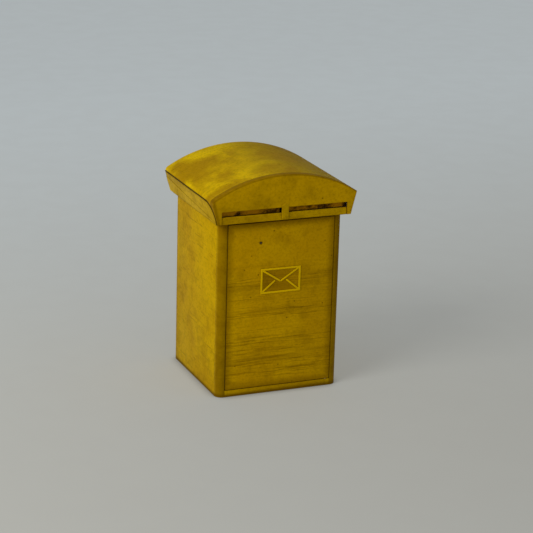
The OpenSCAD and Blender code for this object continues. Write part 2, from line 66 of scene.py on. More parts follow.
class Slot(Enum):
    """Material slots of the record."""

    PAINT = "yellow_paint"
    ZINC = "zinc_steel"
    STEEL = "lock_steel"
    FLAP = "dark_flap"
    RUBBER = "seal_rubber"
    BRASS = "brass"
    PLASTIC = "bin_plastic"


class Side(Enum):
    """The two sides of the box, with the sign of X on each."""

    LEFT = -1
    RIGHT = 1

    @property
    def word(self) -> str:
        """Name ending of the pieces on this side."""
        return self.name.lower()


# ---------------------------------------------------------------- bench tools


def look_at_nothing() -> None:
    """Leave edit mode and deselect every object."""
    if bpy.context.object and bpy.context.object.mode != "OBJECT":
        bpy.ops.object.mode_set(mode="OBJECT")
    bpy.ops.object.select_all(action="DESELECT")


def activate(obj: Piece) -> None:
    """Make one object the only selected and the active one.

    Args:
        obj: The object to work on.
    """
    look_at_nothing()
    obj.select_set(True)
    bpy.context.view_layer.objects.active = obj


def settle(obj: Piece, name: str) -> Piece:
    """Name a new object and put its place into its mesh.

    Args:
        obj: A freshly added primitive.
        name: The piece's name.

    Returns:
        The same object, at the origin, unturned and unscaled.
    """
    activate(obj)
    obj.name = name
    obj.data.name = name
    bpy.ops.object.transform_apply(location=True, rotation=True, scale=True)
    return obj


def add_box(name: str, low: Sequence[float], high: Sequence[float]) -> Piece:
    """Add a cube primitive stretched between two corners.

    Args:
        name: The piece's name.
        low: Lowest corner in metres.
        high: Highest corner in metres.

    Returns:
        The new object.
    """
    look_at_nothing()
    middle = (Vector(low) + Vector(high)) / 2
    bpy.ops.mesh.primitive_cube_add(size=1, location=middle)
    obj = bpy.context.object
    obj.scale = Vector(high) - Vector(low)
    return settle(obj, name)


def add_rod(name: str, start: Vector, end: Vector, radius: float, sides: int = 48) -> Piece:
    """Add a cylinder primitive between two points.

    Args:
        name: The piece's name.
        start: Middle of one end.
        end: Middle of the other end.
        radius: Radius in metres.
        sides: Number of flats round it.

    Returns:
        The new object.
    """
    look_at_nothing()
    line = end - start
    bpy.ops.mesh.primitive_cylinder_add(radius=radius, depth=line.length, vertices=sides,
                                        location=(start + end) / 2)
    obj = bpy.context.object
    obj.rotation_euler = line.to_track_quat("Z", "Y").to_euler()
    return settle(obj, name)


def pick(obj: Piece, kind: str, test: Test) -> int:
    """Enter edit mode and select the elements that pass a test.

    Args:
        obj: The object to edit.
        kind: VERT, EDGE or FACE.
        test: Takes an element's middle and its direction (a face's or vertex's normal, an
            edge's line) and says whether it is selected.

    Returns:
        How many elements are selected.
    """
    activate(obj)
    bpy.ops.object.mode_set(mode="EDIT")
    bpy.ops.mesh.select_mode(type=kind)
    bpy.ops.mesh.select_all(action="DESELECT")
    mesh = bmesh.from_edit_mesh(obj.data)
    mesh.normal_update()
    elements, measure = {
        "FACE": (mesh.faces, lambda face: (face.calc_center_median(), face.normal)),
        "EDGE": (mesh.edges, lambda edge: ((edge.verts[0].co + edge.verts[1].co) / 2,
                                           (edge.verts[1].co - edge.verts[0].co).normalized())),
        "VERT": (mesh.verts, lambda vert: (vert.co, vert.normal)),
    }[kind]
    chosen = [element for element in elements if test(*measure(element))]
    for element in chosen:
        element.select_set(True)
    mesh.select_flush_mode()
    bmesh.update_edit_mesh(obj.data)
    return len(chosen)


def done() -> None:
    """Leave edit mode."""
    bpy.ops.object.mode_set(mode="OBJECT")


def extrude(x: float, y: float, z: float) -> None:
    """Extrude the picked faces by a distance along each axis."""
    bpy.ops.mesh.extrude_region_move(TRANSFORM_OT_translate={"value": (x, y, z)})


def everything(_middle: Vector, _way: Vector) -> bool:
    """Pass every element."""
    return True


def round_edges(obj: Piece, test: Test, width: float, segments: int = 4) -> None:
    """Bevel the edges that pass a test.

    Args:
        obj: The object to edit.
        test: Takes an edge's middle and direction.
        width: Bevel width in metres.
        segments: Number of strips in the bevel.
    """
    if pick(obj, "EDGE", test):
        bpy.ops.mesh.bevel(offset=width, offset_type="OFFSET", segments=segments, profile=0.5,
                           affect="EDGES", clamp_overlap=True)
    done()


def modify(obj: Piece, kind: str, **settings: object) -> None:
    """Add a modifier, set it and apply it.

    Args:
        obj: The object it shapes.
        kind: Blender's modifier type.
        settings: Attribute values of the modifier.
    """
    activate(obj)
    mod = obj.modifiers.new(kind.title(), kind)
    for key, value in settings.items():
        setattr(mod, key, value)
    bpy.ops.object.modifier_apply(modifier=mod.name)


def soften(obj: Piece, width: float, segments: int = 3, angle: float = 35) -> None:
    """Round every edge sharper than an angle, and shade the piece smooth.

    Args:
        obj: The object to finish.
        width: Bevel width in metres.
        segments: Number of strips in the bevel.
        angle: Smallest angle in degrees that is rounded.
    """
    modify(obj, "BEVEL", width=width, segments=segments, limit_method="ANGLE",
           angle_limit=math.radians(angle), use_clamp_overlap=True, harden_normals=False)
    smooth(obj)


def smooth(obj: Piece, angle: float = 40) -> None:
    """Shade a piece smooth, apart from edges sharper than an angle.

    Args:
        obj: The object to shade.
        angle: The angle in degrees.
    """
    activate(obj)
    bpy.ops.object.shade_smooth_by_angle(angle=math.radians(angle))


def cut(obj: Piece, tool: Piece, how: str = "DIFFERENCE") -> None:
    """Apply a boolean with a tool object and remove the tool.

    Args:
        obj: The object that is cut.
        tool: The object that cuts it.
        how: DIFFERENCE or UNION.
    """
    modify(obj, "BOOLEAN", operation=how, object=tool, solver="EXACT")
    bpy.data.objects.remove(tool)


def faces_out(obj: Piece) -> None:
    """Merge doubles and turn every face outwards."""
    pick(obj, "VERT", everything)
    bpy.ops.mesh.remove_doubles(threshold=1e-6)
    bpy.ops.mesh.select_all(action="SELECT")
    bpy.ops.mesh.normals_make_consistent(inside=False)
    done()


def flip(obj: Piece, axis: Point) -> None:
    """Mirror a piece's mesh across the origin, along one axis."""
    obj.data.transform(Matrix.Scale(-1, 4, Vector(axis)))
    obj.data.flip_normals()


def mirror_copy(obj: Piece, name: str) -> Piece:
    """Copy a piece with its own mesh to the other side of the box.

    Args:
        obj: The piece on one side.
        name: The copy's name.

    Returns:
        The copy.
    """
    twin = obj.copy()
    twin.data = obj.data.copy()
    twin.name = name
    twin.data.name = name
    bpy.context.scene.collection.objects.link(twin)
    flip(twin, (1, 0, 0))
    return twin


def join(name: str, parts: Sequence[Piece]) -> Piece:
    """Join several objects into one piece.

    Args:
        name: The piece's name.
        parts: The objects, which become one.

    Returns:
        The joined object.
    """
    look_at_nothing()
    for part in parts:
        part.select_set(True)
    bpy.context.view_layer.objects.active = parts[0]
    bpy.ops.object.join()
    whole = bpy.context.object
    whole.name = name
    whole.data.name = name
    return whole


def near(a: float, b: float, gap: float = 1e-4) -> bool:
    """Whether two numbers are within a gap."""
    return abs(a - b) < gap


def place(node: str) -> tuple[Vector, Vector]:
    """Lowest and highest corner of a CAD node."""
    low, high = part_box(node)
    return Vector(low), Vector(high)


# ---------------------------------------------------------------- shader groups


@dataclass
class Group:
    """A shader node group with named sockets, built once and placed in many materials.

    Attributes:
        name: The group's name.
        tree: Its node tree.
    """

    name: str
    tree: bpy.types.NodeTree = field(init=False)

    def __post_init__(self) -> None:
        """Make the empty tree with its two ends."""
        self.tree = bpy.data.node_groups.new(self.name, "ShaderNodeTree")
        self.start = self.tree.nodes.new("NodeGroupInput")
        self.end = self.tree.nodes.new("NodeGroupOutput")

    def takes(self, name: str, kind: str, value: object = None) -> Socket:
        """Add an input socket.

        Args:
            name: The socket's name.
            kind: Float, Vector or Color.
            value: Its default.

        Returns:
            The socket on the group's inner side.
        """
        item = self.tree.interface.new_socket(name, in_out="INPUT", socket_type=f"NodeSocket{kind}")
        if value is not None:
            item.default_value = value
        return self.start.outputs[name]

    def gives(self, name: str, kind: str, source: Socket) -> None:
        """Add an output socket and feed it.

        Args:
            name: The socket's name.
            kind: Float, Vector or Color.
            source: The inner socket that feeds it.
        """
        self.tree.interface.new_socket(name, in_out="OUTPUT", socket_type=f"NodeSocket{kind}")
        self.tree.links.new(source, self.end.inputs[name])


@dataclass
class Wires:
    """Short ways to add and link nodes in one tree."""

    tree: bpy.types.NodeTree

    def node(self, kind: str, **settings: object) -> bpy.types.Node:
        """Add a node.

        Args:
            kind: Node type without its ShaderNode prefix.
            settings: Attribute values of the node.

        Returns:
            The new node.
        """
        made = self.tree.nodes.new(f"ShaderNode{kind}")
        for key, value in settings.items():
            setattr(made, key, value)
        return made

    def feed(self, socket: Socket, value: object) -> None:
        """Link a socket to another, or set its value.

        Args:
            socket: The input.
            value: An output socket, a number or a tuple.
        """
        if isinstance(value, Socket):
            self.tree.links.new(value, socket)
        else:
            socket.default_value = value

    def fill(self, made: bpy.types.Node, **values: object) -> bpy.types.Node:
        """Feed a node's inputs, named with underscores for spaces, and hand it back."""
        for key, value in values.items():
            self.feed(made.inputs[key.replace("_", " ")], value)
        return made

    def maths(self, how: str, a: object, b: object = 0.0, c: object = 0.0,
              clamp: bool = False) -> Socket:
        """Add a Math node.

        Args:
            how: The operation.
            a: First input.
            b: Second input.
            c: Third input.
            clamp: Whether the result is kept between 0 and 1.

        Returns:
            Its output.
        """
        made = self.node("Math", operation=how, use_clamp=clamp)
        for socket, value in zip(made.inputs, (a, b, c)):
            self.feed(socket, value)
        return made.outputs[0]

    def noise(self, where: object, scale: object, detail: float = 4, rough: float = 0.55,
              twist: float = 0) -> Socket:
        """Add a noise texture.

        Args:
            where: Vector socket.
            scale: Its scale.
            detail: Octaves.
            rough: Roughness of the octaves.
            twist: Distortion.

        Returns:
            Its value output.
        """
        return self.fill(self.node("TexNoise"), Vector=where, Scale=scale, Detail=detail,
                         Roughness=rough, Distortion=twist).outputs["Fac"]

    def stretch(self, where: object, scale: Point, turn: Point = (0, 0, 0)) -> Socket:
        """Add a Mapping node.

        Args:
            where: Vector socket.
            scale: Scale along the axes.
            turn: Rotation in degrees.

        Returns:
            Its output.
        """
        angles = tuple(math.radians(degrees) for degrees in turn)
        return self.fill(self.node("Mapping"), Vector=where, Scale=scale, Rotation=angles).outputs[0]

    def ramp(self, value: object, low: object, high: object) -> Socket:
        """Smooth step of a value from 0 at low to 1 at high."""
        made = self.node("MapRange", interpolation_type="SMOOTHSTEP")
        return self.fill(made, Value=value, From_Min=low, From_Max=high).outputs["Result"]

    def mix(self, share: object, a: object, b: object) -> Socket:
        """Mix two colours.

        Args:
            share: Factor.
            a: First colour.
            b: Second colour.

        Returns:
            The mixed colour.
        """
        made = self.node("Mix", data_type="RGBA")
        self.feed(made.inputs[0], share)
        for socket, value in ((made.inputs[6], a), (made.inputs[7], b)):
            self.feed(socket, (*value, 1) if isinstance(value, tuple) and len(value) == 3 else value)
        return made.outputs[2]

    def cover(self, mask: object, strength: float, under: object, colour: object) -> Socket:
        """Lay a colour over another where a mask allows.

        Args:
            mask: Where it lies, 0 to 1.
            strength: Its share where the mask is full.
            under: The colour below.
            colour: The colour on top.

        Returns:
            The covered colour.
        """
        return self.mix(self.maths("MULTIPLY", mask, strength), under, colour)

    def apart(self, vector: object) -> bpy.types.NodeOutputs:
        """The three parts of a vector."""
        return self.fill(self.node("SeparateXYZ"), Vector=vector).outputs

    def tones(self, colour: object) -> bpy.types.NodeOutputs:
        """The three parts of a colour."""
        return self.fill(self.node("SeparateColor"), Color=colour).outputs


class ShaderShelf:
    """The groups that several finishes share."""

    def __init__(self) -> None:
        """Build each group."""
        self.edges = self.edge_group()
        self.grime = self.grime_group()
        self.mottle = self.mottle_group()
        self.streaks = self.streak_group()
        self.pits = self.pit_group()
        self.border = self.border_group()

    @staticmethod
    def edge_group() -> Group:
        """Mask of the outer edges, found where a rounded normal leaves the true one."""
        group = Group("edge_mask")
        wires = Wires(group.tree)
        radius = group.takes("Radius", "Float", 0.006)
        where = group.takes("Where", "Vector")
        breakup = group.takes("Breakup", "Float", 0.5)
        rounded = wires.fill(wires.node("Bevel", samples=6), Radius=radius)
        true = wires.node("NewGeometry")
        dot = wires.node("VectorMath", operation="DOT_PRODUCT")
        wires.feed(dot.inputs[0], rounded.outputs[0])
        wires.feed(dot.inputs[1], true.outputs["Normal"])
        bend = wires.ramp(dot.outputs["Value"], 0.995, 0.86)
        rough = wires.noise(where, 38.0, 5)
        kept = wires.maths("MULTIPLY", wires.ramp(rough, 0.35, 0.6), breakup)
        share = wires.maths("SUBTRACT", 1.0, kept, clamp=True)
        group.gives("Mask", "Float", wires.maths("MULTIPLY", bend, share, clamp=True))
        return group

    @staticmethod
    def grime_group() -> Group:
        """Mask of the corners and gaps, for the dirt that settles there and the painted shade that falls
        there.
        """
        group = Group("dirt_and_painted_shade_mask")
        wires = Wires(group.tree)
        reach = group.takes("Reach", "Float", 0.03)
        hollow = wires.fill(wires.node("AmbientOcclusion", samples=8), Distance=reach)
        group.gives("Mask", "Float", wires.ramp(hollow.outputs["AO"], 0.85, 0.25))
        return group

    @staticmethod
    def mottle_group() -> Group:
        """Masks of unevenness from slow to fine, all round 0.5."""
        group = Group("mottle")
        wires = Wires(group.tree)
        where = group.takes("Where", "Vector")
        for name, *settings in (("Slow", 4.5, 3, 0.5, 0.4), ("Patch", 13.0, 4, 0.55, 0.3),
                                ("Fine", 70.0, 5, 0.65), ("Grain", 420.0, 2, 0.5)):
            group.gives(name, "Float", wires.noise(where, *settings))
        return group

    @staticmethod
    def streak_group() -> Group:
        """Thin broken lines across a surface, as a drag leaves them."""
        group = Group("streaks")
        wires = Wires(group.tree)
        where = group.takes("Where", "Vector")
        limit = group.takes("Limit", "Float", 0.56)
        wobble = wires.fill(wires.node("TexNoise"), Scale=1.0,
                            Vector=wires.stretch(where, (4.0, 4.0, 0.12)))
        bent = wires.node("VectorMath", operation="MULTIPLY_ADD")
        wires.feed(bent.inputs[0], wobble.outputs["Color"])
        wires.feed(bent.inputs[1], (0.2, 0.2, 1.6))
        wires.feed(bent.inputs[2], where)
        lines = wires.noise(bent.outputs[0], 1.0, 4, 0.65)
        patches = wires.noise(wires.stretch(where, (0.35, 0.35, 0.16)), 1.0, 2, 0.5)
        thin = wires.ramp(lines, limit, wires.maths("ADD", limit, 0.09))
        here = wires.ramp(patches, 0.36, 0.62)
        group.gives("Mask", "Float", wires.maths("MULTIPLY", thin, here))
        group.gives("Height", "Float", lines)
        return group

    @staticmethod
    def pit_group() -> Group:
        """Mask of small scattered pits."""
        group = Group("pits")
        wires = Wires(group.tree)
        where = group.takes("Where", "Vector")
        scale = group.takes("Scale", "Float", 30.0)
        size = group.takes("Size", "Float", 0.09)
        share = group.takes("Share", "Float", 0.12)
        bent = wires.node("VectorMath", operation="ADD")
        wobble = wires.fill(wires.node("TexNoise"), Vector=where, Scale=60.0)
        small = wires.node("VectorMath", operation="SCALE")
        wires.feed(small.inputs[0], wobble.outputs["Color"])
        wires.feed(small.inputs["Scale"], 0.006)
        wires.feed(bent.inputs[0], where)
        wires.feed(bent.inputs[1], small.outputs[0])
        cells = wires.fill(wires.node("TexVoronoi"), Vector=bent.outputs[0], Scale=scale)
        tones = wires.tones(cells.outputs["Color"])
        chosen = wires.maths("LESS_THAN", tones[0], share)
        wide = wires.maths("MULTIPLY", size, wires.maths("ADD", tones[1], 0.4))
        dot = wires.ramp(cells.outputs["Distance"], wide, wires.maths("MULTIPLY", wide, 0.55))
        group.gives("Mask", "Float", wires.maths("MULTIPLY", dot, chosen))
        return group

    @staticmethod
    def border_group() -> Group:
        """Mask of the strip along the sides of a box between two corners."""
        group = Group("border_mask")
        wires = Wires(group.tree)
        where = group.takes("Where", "Vector")
        low = group.takes("Low", "Vector")
        high = group.takes("High", "Vector")
        width = group.takes("Width", "Float", 0.04)
        sides = []
        here = wires.apart(where)
        for end, sign in ((low, 1), (high, -1)):
            for pair in zip(here, wires.apart(end)):
                sides.append(wires.maths("SUBTRACT", *pair[::sign]))
        nearest = sides[0]
        for side in sides[1:]:
            nearest = wires.maths("MINIMUM", nearest, side)
        group.gives("Mask", "Float", wires.ramp(nearest, width, 0.0))
        return group


@dataclass
class Bench:
    """A material under construction: its wires, its place vector and its shader."""

    name: str
    material: Material = field(init=False)

    def __post_init__(self) -> None:
        """Make the material with a bare Principled shader."""
        self.material = bpy.data.materials.new(self.name)
        self.material.use_nodes = True
        self.wires = Wires(self.material.node_tree)
        self.shader = self.material.node_tree.nodes["Principled BSDF"]
        self.where = self.wires.node("TexCoord").outputs["Object"]

    def group(self, group: Group, **values: object) -> dict[str, Socket]:
        """Place a shared group.

        Args:
            group: The group.
            values: What feeds its inputs, by socket name.

        Returns:
            Its outputs by name.
        """
        made = self.wires.fill(self.wires.node("Group", node_tree=group.tree), **values)
        return {socket.name: socket for socket in made.outputs}

    def bump(self, height: object, strength: float, distance: float,
             under: Socket | None = None) -> Socket:
        """Add a Bump node.

        Args:
            height: Height socket.
            strength: Share of the effect.
            distance: Height of a full step in metres.
            under: Normal of a coarser bump below it.

        Returns:
            Its normal.
        """
        made = self.wires.fill(self.wires.node("Bump"), Strength=strength, Distance=distance,
                               Height=height)
        if under is not None:
            self.wires.feed(made.inputs["Normal"], under)
        return made.outputs[0]

    def set(self, **values: object) -> None:
        """Feed the shader's sockets, named with underscores for spaces."""
        self.wires.fill(self.shader, **values)


# ---------------------------------------------------------------- finishes


class Finish(ABC):
    """A finish that can be made into a material; each kind has a name and lays its own coat."""

    name: str

    def make(self, shelf: ShaderShelf) -> Material:
        """Build the material.

        Args:
            shelf: The shared shader groups.

        Returns:
            The material.
        """
        bench = Bench(self.name)
        self.coat(bench, shelf)
        return bench.material

    @abstractmethod
    def coat(self, bench: Bench, shelf: ShaderShelf) -> None:
        """Lay the finish on a bare material.

        Args:
            bench: The material under construction.
            shelf: The shared shader groups.
        """


@dataclass(frozen=True)
class YellowPaint(Finish):
    """Satin yellow paint, uneven in tone and darker where it thins over edges, with dirt and painted shade
    in its hollows.

    Attributes:
        name: Material name.
        base: Colour of the open surface.
        warm: Colour of the slow darker patches.
        deep: Ochre of edges, streaks and pits, and of the painted shade at the foot, along a leaning
            corner and on what faces the front.
        drag: Strength of the fine level lines left by the drag of the tool.
        drag_top: Height in metres below which the lines are full.
        scratch: Strength of the slanting scratches.
        edge: Radius of the dark outer edges in metres.
        border: Width of the dark strip along the box's sides in metres, or 0 for none.
        box: Corners of the box that the strip runs along.
        rough: Mean roughness.
        lit: Painted light, the colour towards the left side where the key light falls, or None for one
            base colour.
        rim: Share of the deep colour on the outer edges.
        nose: Share of the deep colour painted as shade on what faces the front at the corners.
        lit_span: Distances from the middle, from the base colour to the full painted light.
        nose_span: Depths that this painted shade fades in between.
        ridge_span: Depths that a relief's raised lines, which carry the painted highlight, begin and end
            at.
        blotch: Strength of the patches the size of a hand.
        ridge: Colour of the painted highlight on the raised lines of a relief, or None.
        corner: Half width at the ground and widening of a leaning left edge along which shade is painted
            in place of a rounded corner, or None.
        vault: Height of the axis and radius of a vault whose edge is shaded, or None.
    """

    name: str
    base: Colour = (0.62, 0.375, 0.0)
    warm: Colour = (0.54, 0.305, 0.0)
    deep: Colour = (0.17, 0.080, 0.0)
    drag: float = 0.15
    drag_top: float = 3.0
    scratch: float = 0.0
    edge: float = 0.007
    border: float = 0.0
    box: tuple[Point, Point] = ((0, 0, 0), (1, 1, 1))
    rough: float = 0.55
    lit: Colour | None = None
    rim: float = 0.75
    nose: float = 0.0
    blotch: float = 0.30
    ridge: Colour | None = None
    corner: Span | None = None
    vault: Span | None = None
    lit_span: Span = (0.20, -0.26)
    nose_span: Span = (-0.298, -0.320)
    ridge_span: Span = (-0.3437, -0.3456)

    def coat(self, bench: Bench, shelf: ShaderShelf) -> None:
        """Lay the finish on a bare material."""
        wires = bench.wires
        mottle = bench.group(shelf.mottle, Where=bench.where)
        across, depth, height = wires.apart(bench.where)
        base = self.base
        # painted light: the colour grows lighter towards the left, where the key light falls
        if self.lit:
            base = wires.mix(wires.ramp(across, *self.lit_span), self.base, self.lit)
        colour = wires.mix(wires.ramp(mottle["Slow"], 0.36, 0.66), self.warm, base)
        patch = wires.ramp(mottle["Patch"], 0.46, 0.70)
        colour = wires.cover(patch, self.blotch, colour, self.deep)
        fine = wires.ramp(mottle["Fine"], 0.42, 0.72)
        colour = wires.cover(fine, 0.30, colour, self.deep)

        along = wires.stretch(bench.where, (3.0, 3.0, 120.0), (0, 0.8, 0))
        streaks = bench.group(shelf.streaks, Where=along, Limit=0.50)
        lower = wires.ramp(height, self.drag_top + 0.12, self.drag_top - 0.14)
        drag = wires.maths("MULTIPLY", streaks["Mask"], lower)
        colour = wires.cover(drag, self.drag, colour, self.deep)
        bands = wires.noise(wires.stretch(bench.where, (1.6, 1.6, 26.0), (0, 0.8, 0)), 1.0, 3)
        banded = wires.maths("MULTIPLY", wires.ramp(bands, 0.47, 0.68), lower)
        colour = wires.cover(banded, 0.6 * self.drag, colour, self.deep)

        pits = bench.group(shelf.pits, Where=bench.where, Scale=24.0, Size=0.11, Share=0.15)
        colour = wires.cover(pits["Mask"], 0.75, colour, self.deep)

        if self.scratch:
            slant = wires.stretch(bench.where, (8.0, 7.0, 120.0), (38, 0, 0))
            lines = bench.group(shelf.streaks, Where=slant, Limit=0.56)
            colour = wires.cover(lines["Mask"], self.scratch, colour, self.deep)

        if self.border:
            low, high = self.box
            strip = bench.group(shelf.border, Where=bench.where, Low=low, High=high, Width=self.border)
            colour = wires.cover(strip["Mask"], 0.55, colour, self.deep)

        # dirt and painted shade: dark brown in corners, gaps and under overhangs
        grime = bench.group(shelf.grime, Reach=0.035)
        colour = wires.cover(grime["Mask"], 0.80, colour, (0.045, 0.020, 0.002))
        edge = bench.group(shelf.edges, Radius=self.edge, Where=bench.where, Breakup=0.45)
        colour = wires.cover(edge["Mask"], self.rim, colour, self.deep)
        # painted shade: darker towards the ground, for the contact shade at the foot
        foot = wires.ramp(height, 0.030, 0.0)
        colour = wires.cover(foot, 0.70, colour, self.deep)
        # painted shade along the leaning left edge, in place of the shading of a rounded corner
        if self.corner:
            half, lean = self.corner
            leaning = wires.maths("MULTIPLY_ADD", height, lean, half)
            inside = wires.maths("ADD", across, leaning)
            colour = wires.cover(wires.ramp(inside, 0.026, 0.008), 0.55, colour, self.deep)
        if self.vault:
            axis, radius = self.vault
            rise = wires.maths("SUBTRACT", height, axis)
            squares = wires.maths("MULTIPLY_ADD", rise, rise,
                                  wires.maths("MULTIPLY", across, across))
            far = wires.maths("SQRT", squares)
            line = wires.ramp(far, radius - 0.011, radius - 0.003)
            colour = wires.cover(line, 0.55, colour, self.deep)
        # painted highlight on the raised lines of a relief
        if self.ridge:
            raised = wires.ramp(depth, *self.ridge_span)
            colour = wires.cover(raised, 0.85, colour, self.ridge)
        # painted shade on the part of a corner that turns to the front
        if self.nose:
            turned = wires.ramp(depth, *self.nose_span)
            colour = wires.cover(turned, self.nose, colour, self.deep)

        rough = wires.maths("MULTIPLY_ADD", mottle["Fine"], 0.30, self.rough - 0.15)
        uneven = bench.bump(mottle["Slow"], 0.35, 0.010)
        grain = bench.bump(mottle["Fine"], 0.30, 0.0012, uneven)
        skin = bench.bump(mottle["Grain"], 0.25, 0.0003, grain)
        lines = wires.maths("MULTIPLY", streaks["Height"], lower)
        ruled = bench.bump(lines, min(1.0, 0.25 + self.drag), 0.0035, skin)
        pitted = bench.bump(wires.maths("SUBTRACT", 1.0, pits["Mask"]), 0.7, 0.0012, ruled)
        bench.set(Base_Color=colour, Roughness=rough, Normal=pitted)
        bench.set(Specular_IOR_Level=0.03, Specular_Tint=(1.0, 0.72, 0.15, 1))


@dataclass(frozen=True)
class ZincSheet(Finish):
    """Zinc-coated steel sheet with its crystal pattern and some handling marks.

    Attributes:
        name: Material name.
        light: Colour of the lightest crystals.
        dark: Colour of the darkest ones.
    """

    name: str = "zinc_sheet"
    light: Colour = (0.46, 0.48, 0.49)
    dark: Colour = (0.27, 0.29, 0.30)

    def coat(self, bench: Bench, shelf: ShaderShelf) -> None:
        """Lay the finish on a bare material."""
        wires = bench.wires
        mottle = bench.group(shelf.mottle, Where=bench.where)
        cells = wires.fill(wires.node("TexVoronoi"), Vector=bench.where, Scale=55.0)
        share = wires.maths("MULTIPLY_ADD", wires.tones(cells.outputs["Color"])[0], 0.55, 0.2)
        colour = wires.mix(share, self.dark, self.light)
        # dirt and painted shade in corners and gaps
        grime = bench.group(shelf.grime, Reach=0.03)
        colour = wires.cover(grime["Mask"], 0.6, colour, (0.06, 0.05, 0.04))
        edge = bench.group(shelf.edges, Radius=0.002, Where=bench.where, Breakup=0.6)
        colour = wires.cover(edge["Mask"], 0.5, colour, (0.62, 0.63, 0.63))
        rough = wires.maths("MULTIPLY_ADD", mottle["Fine"], 0.35, 0.25)
        normal = bench.bump(mottle["Fine"], 0.25, 0.0006)
        bench.set(Base_Color=colour, Roughness=rough, Normal=normal)
        bench.set(Metallic=0.85)


@dataclass(frozen=True)
class TurnedMetal(Finish):
    """Machined metal with fine turning lines, darker in its corners with grease and painted shade.

    Attributes:
        name: Material name.
        base: Colour of the clean metal.
        dull: Colour of its duller patches.
        rough: Mean roughness.
    """

    name: str
    base: Colour
    dull: Colour
    rough: float = 0.34

    def coat(self, bench: Bench, shelf: ShaderShelf) -> None:
        """Lay the finish on a bare material."""
        wires = bench.wires
        mottle = bench.group(shelf.mottle, Where=bench.where)
        lines = wires.noise(wires.stretch(bench.where, (60, 60, 900)), 1.0, 3)
        colour = wires.mix(wires.ramp(mottle["Fine"], 0.3, 0.7), self.dull, self.base)
        # grease and painted shade in corners
        grime = bench.group(shelf.grime, Reach=0.012)
        colour = wires.cover(grime["Mask"], 0.7, colour, (0.03, 0.025, 0.02))
        rough = wires.maths("MULTIPLY_ADD", lines, 0.25, self.rough - 0.12)
        bench.set(Base_Color=colour, Roughness=rough, Normal=bench.bump(lines, 0.3, 0.0002))
        bench.set(Metallic=0.95)


@dataclass(frozen=True)
class DarkCoat(Finish):
    """Matt dark coat or moulding with dust and rubbed edges; on the flaps its patches are dirt and painted
    shade.

    Attributes:
        name: Material name.
        base: Colour of the clean surface.
        dust: Colour of the dust and the larger patches, which on the flaps are dirt and painted shade.
        worn: Colour of the rubbed edges.
        rough: Mean roughness.
        grain: Strength of the pebbled surface.
        patchy: Strength of the larger patches.
        gloss: Specular level.
    """

    name: str
    base: Colour
    dust: Colour
    worn: Colour
    rough: float = 0.6
    grain: float = 0.25
    patchy: float = 0.35
    gloss: float = 0.4

    def coat(self, bench: Bench, shelf: ShaderShelf) -> None:
        """Lay the finish on a bare material."""
        wires = bench.wires
        mottle = bench.group(shelf.mottle, Where=bench.where)
        colour = wires.cover(wires.ramp(mottle["Fine"], 0.42, 0.78), 0.6, self.base, self.dust)
        colour = wires.cover(wires.ramp(mottle["Patch"], 0.4, 0.6), self.patchy, colour, self.dust)
        edge = bench.group(shelf.edges, Radius=0.002, Where=bench.where, Breakup=0.7)
        colour = wires.cover(edge["Mask"], 0.6, colour, self.worn)
        rough = wires.maths("MULTIPLY_ADD", mottle["Fine"], 0.25, self.rough - 0.1)
        pebble = bench.bump(mottle["Grain"], self.grain, 0.0006)
        bench.set(Base_Color=colour, Roughness=rough, Normal=pebble)
        bench.set(Specular_IOR_Level=self.gloss)


@dataclass(frozen=True)
class PaperSweep(Finish):
    """Pale matt paper under and behind the box, with painted light: darker and warmer close to it, lighter
    and cooler far back, and a painted shadow round the box's foot.

    Attributes:
        name: Material name.
        close: Colour in front of the box.
        far: Colour far behind it.
        glow: Strength of its own light, for the even light of a studio.
    """

    name: str = "paper_sweep"
    close: Colour = (0.345, 0.345, 0.318)
    far: Colour = (0.465, 0.50, 0.505)
    glow: float = 0.60

    def coat(self, bench: Bench, shelf: ShaderShelf) -> None:
        """Lay the finish on a bare material."""
        wires = bench.wires
        _across, depth, _height = wires.apart(bench.where)
        # painted light: darker and warmer close to the box, lighter and cooler far back
        share = wires.ramp(depth, -2.0, 7.0)
        colour = wires.mix(share, self.close, self.far)
        mottle = bench.group(shelf.mottle, Where=bench.where)
        colour = wires.cover(wires.ramp(mottle["Slow"], 0.3, 0.7), 0.05, colour, (0.30, 0.29, 0.27))
        # painted shadow round the box's foot
        grime = bench.group(shelf.grime, Reach=0.09)
        colour = wires.cover(grime["Mask"], 0.75, colour, (0.10, 0.09, 0.06))
        bench.set(Base_Color=colour, Normal=bench.bump(mottle["Fine"], 0.1, 0.001))
        bench.set(Roughness=0.85, Specular_IOR_Level=0.0, Emission_Color=colour,
                  Emission_Strength=self.glow)


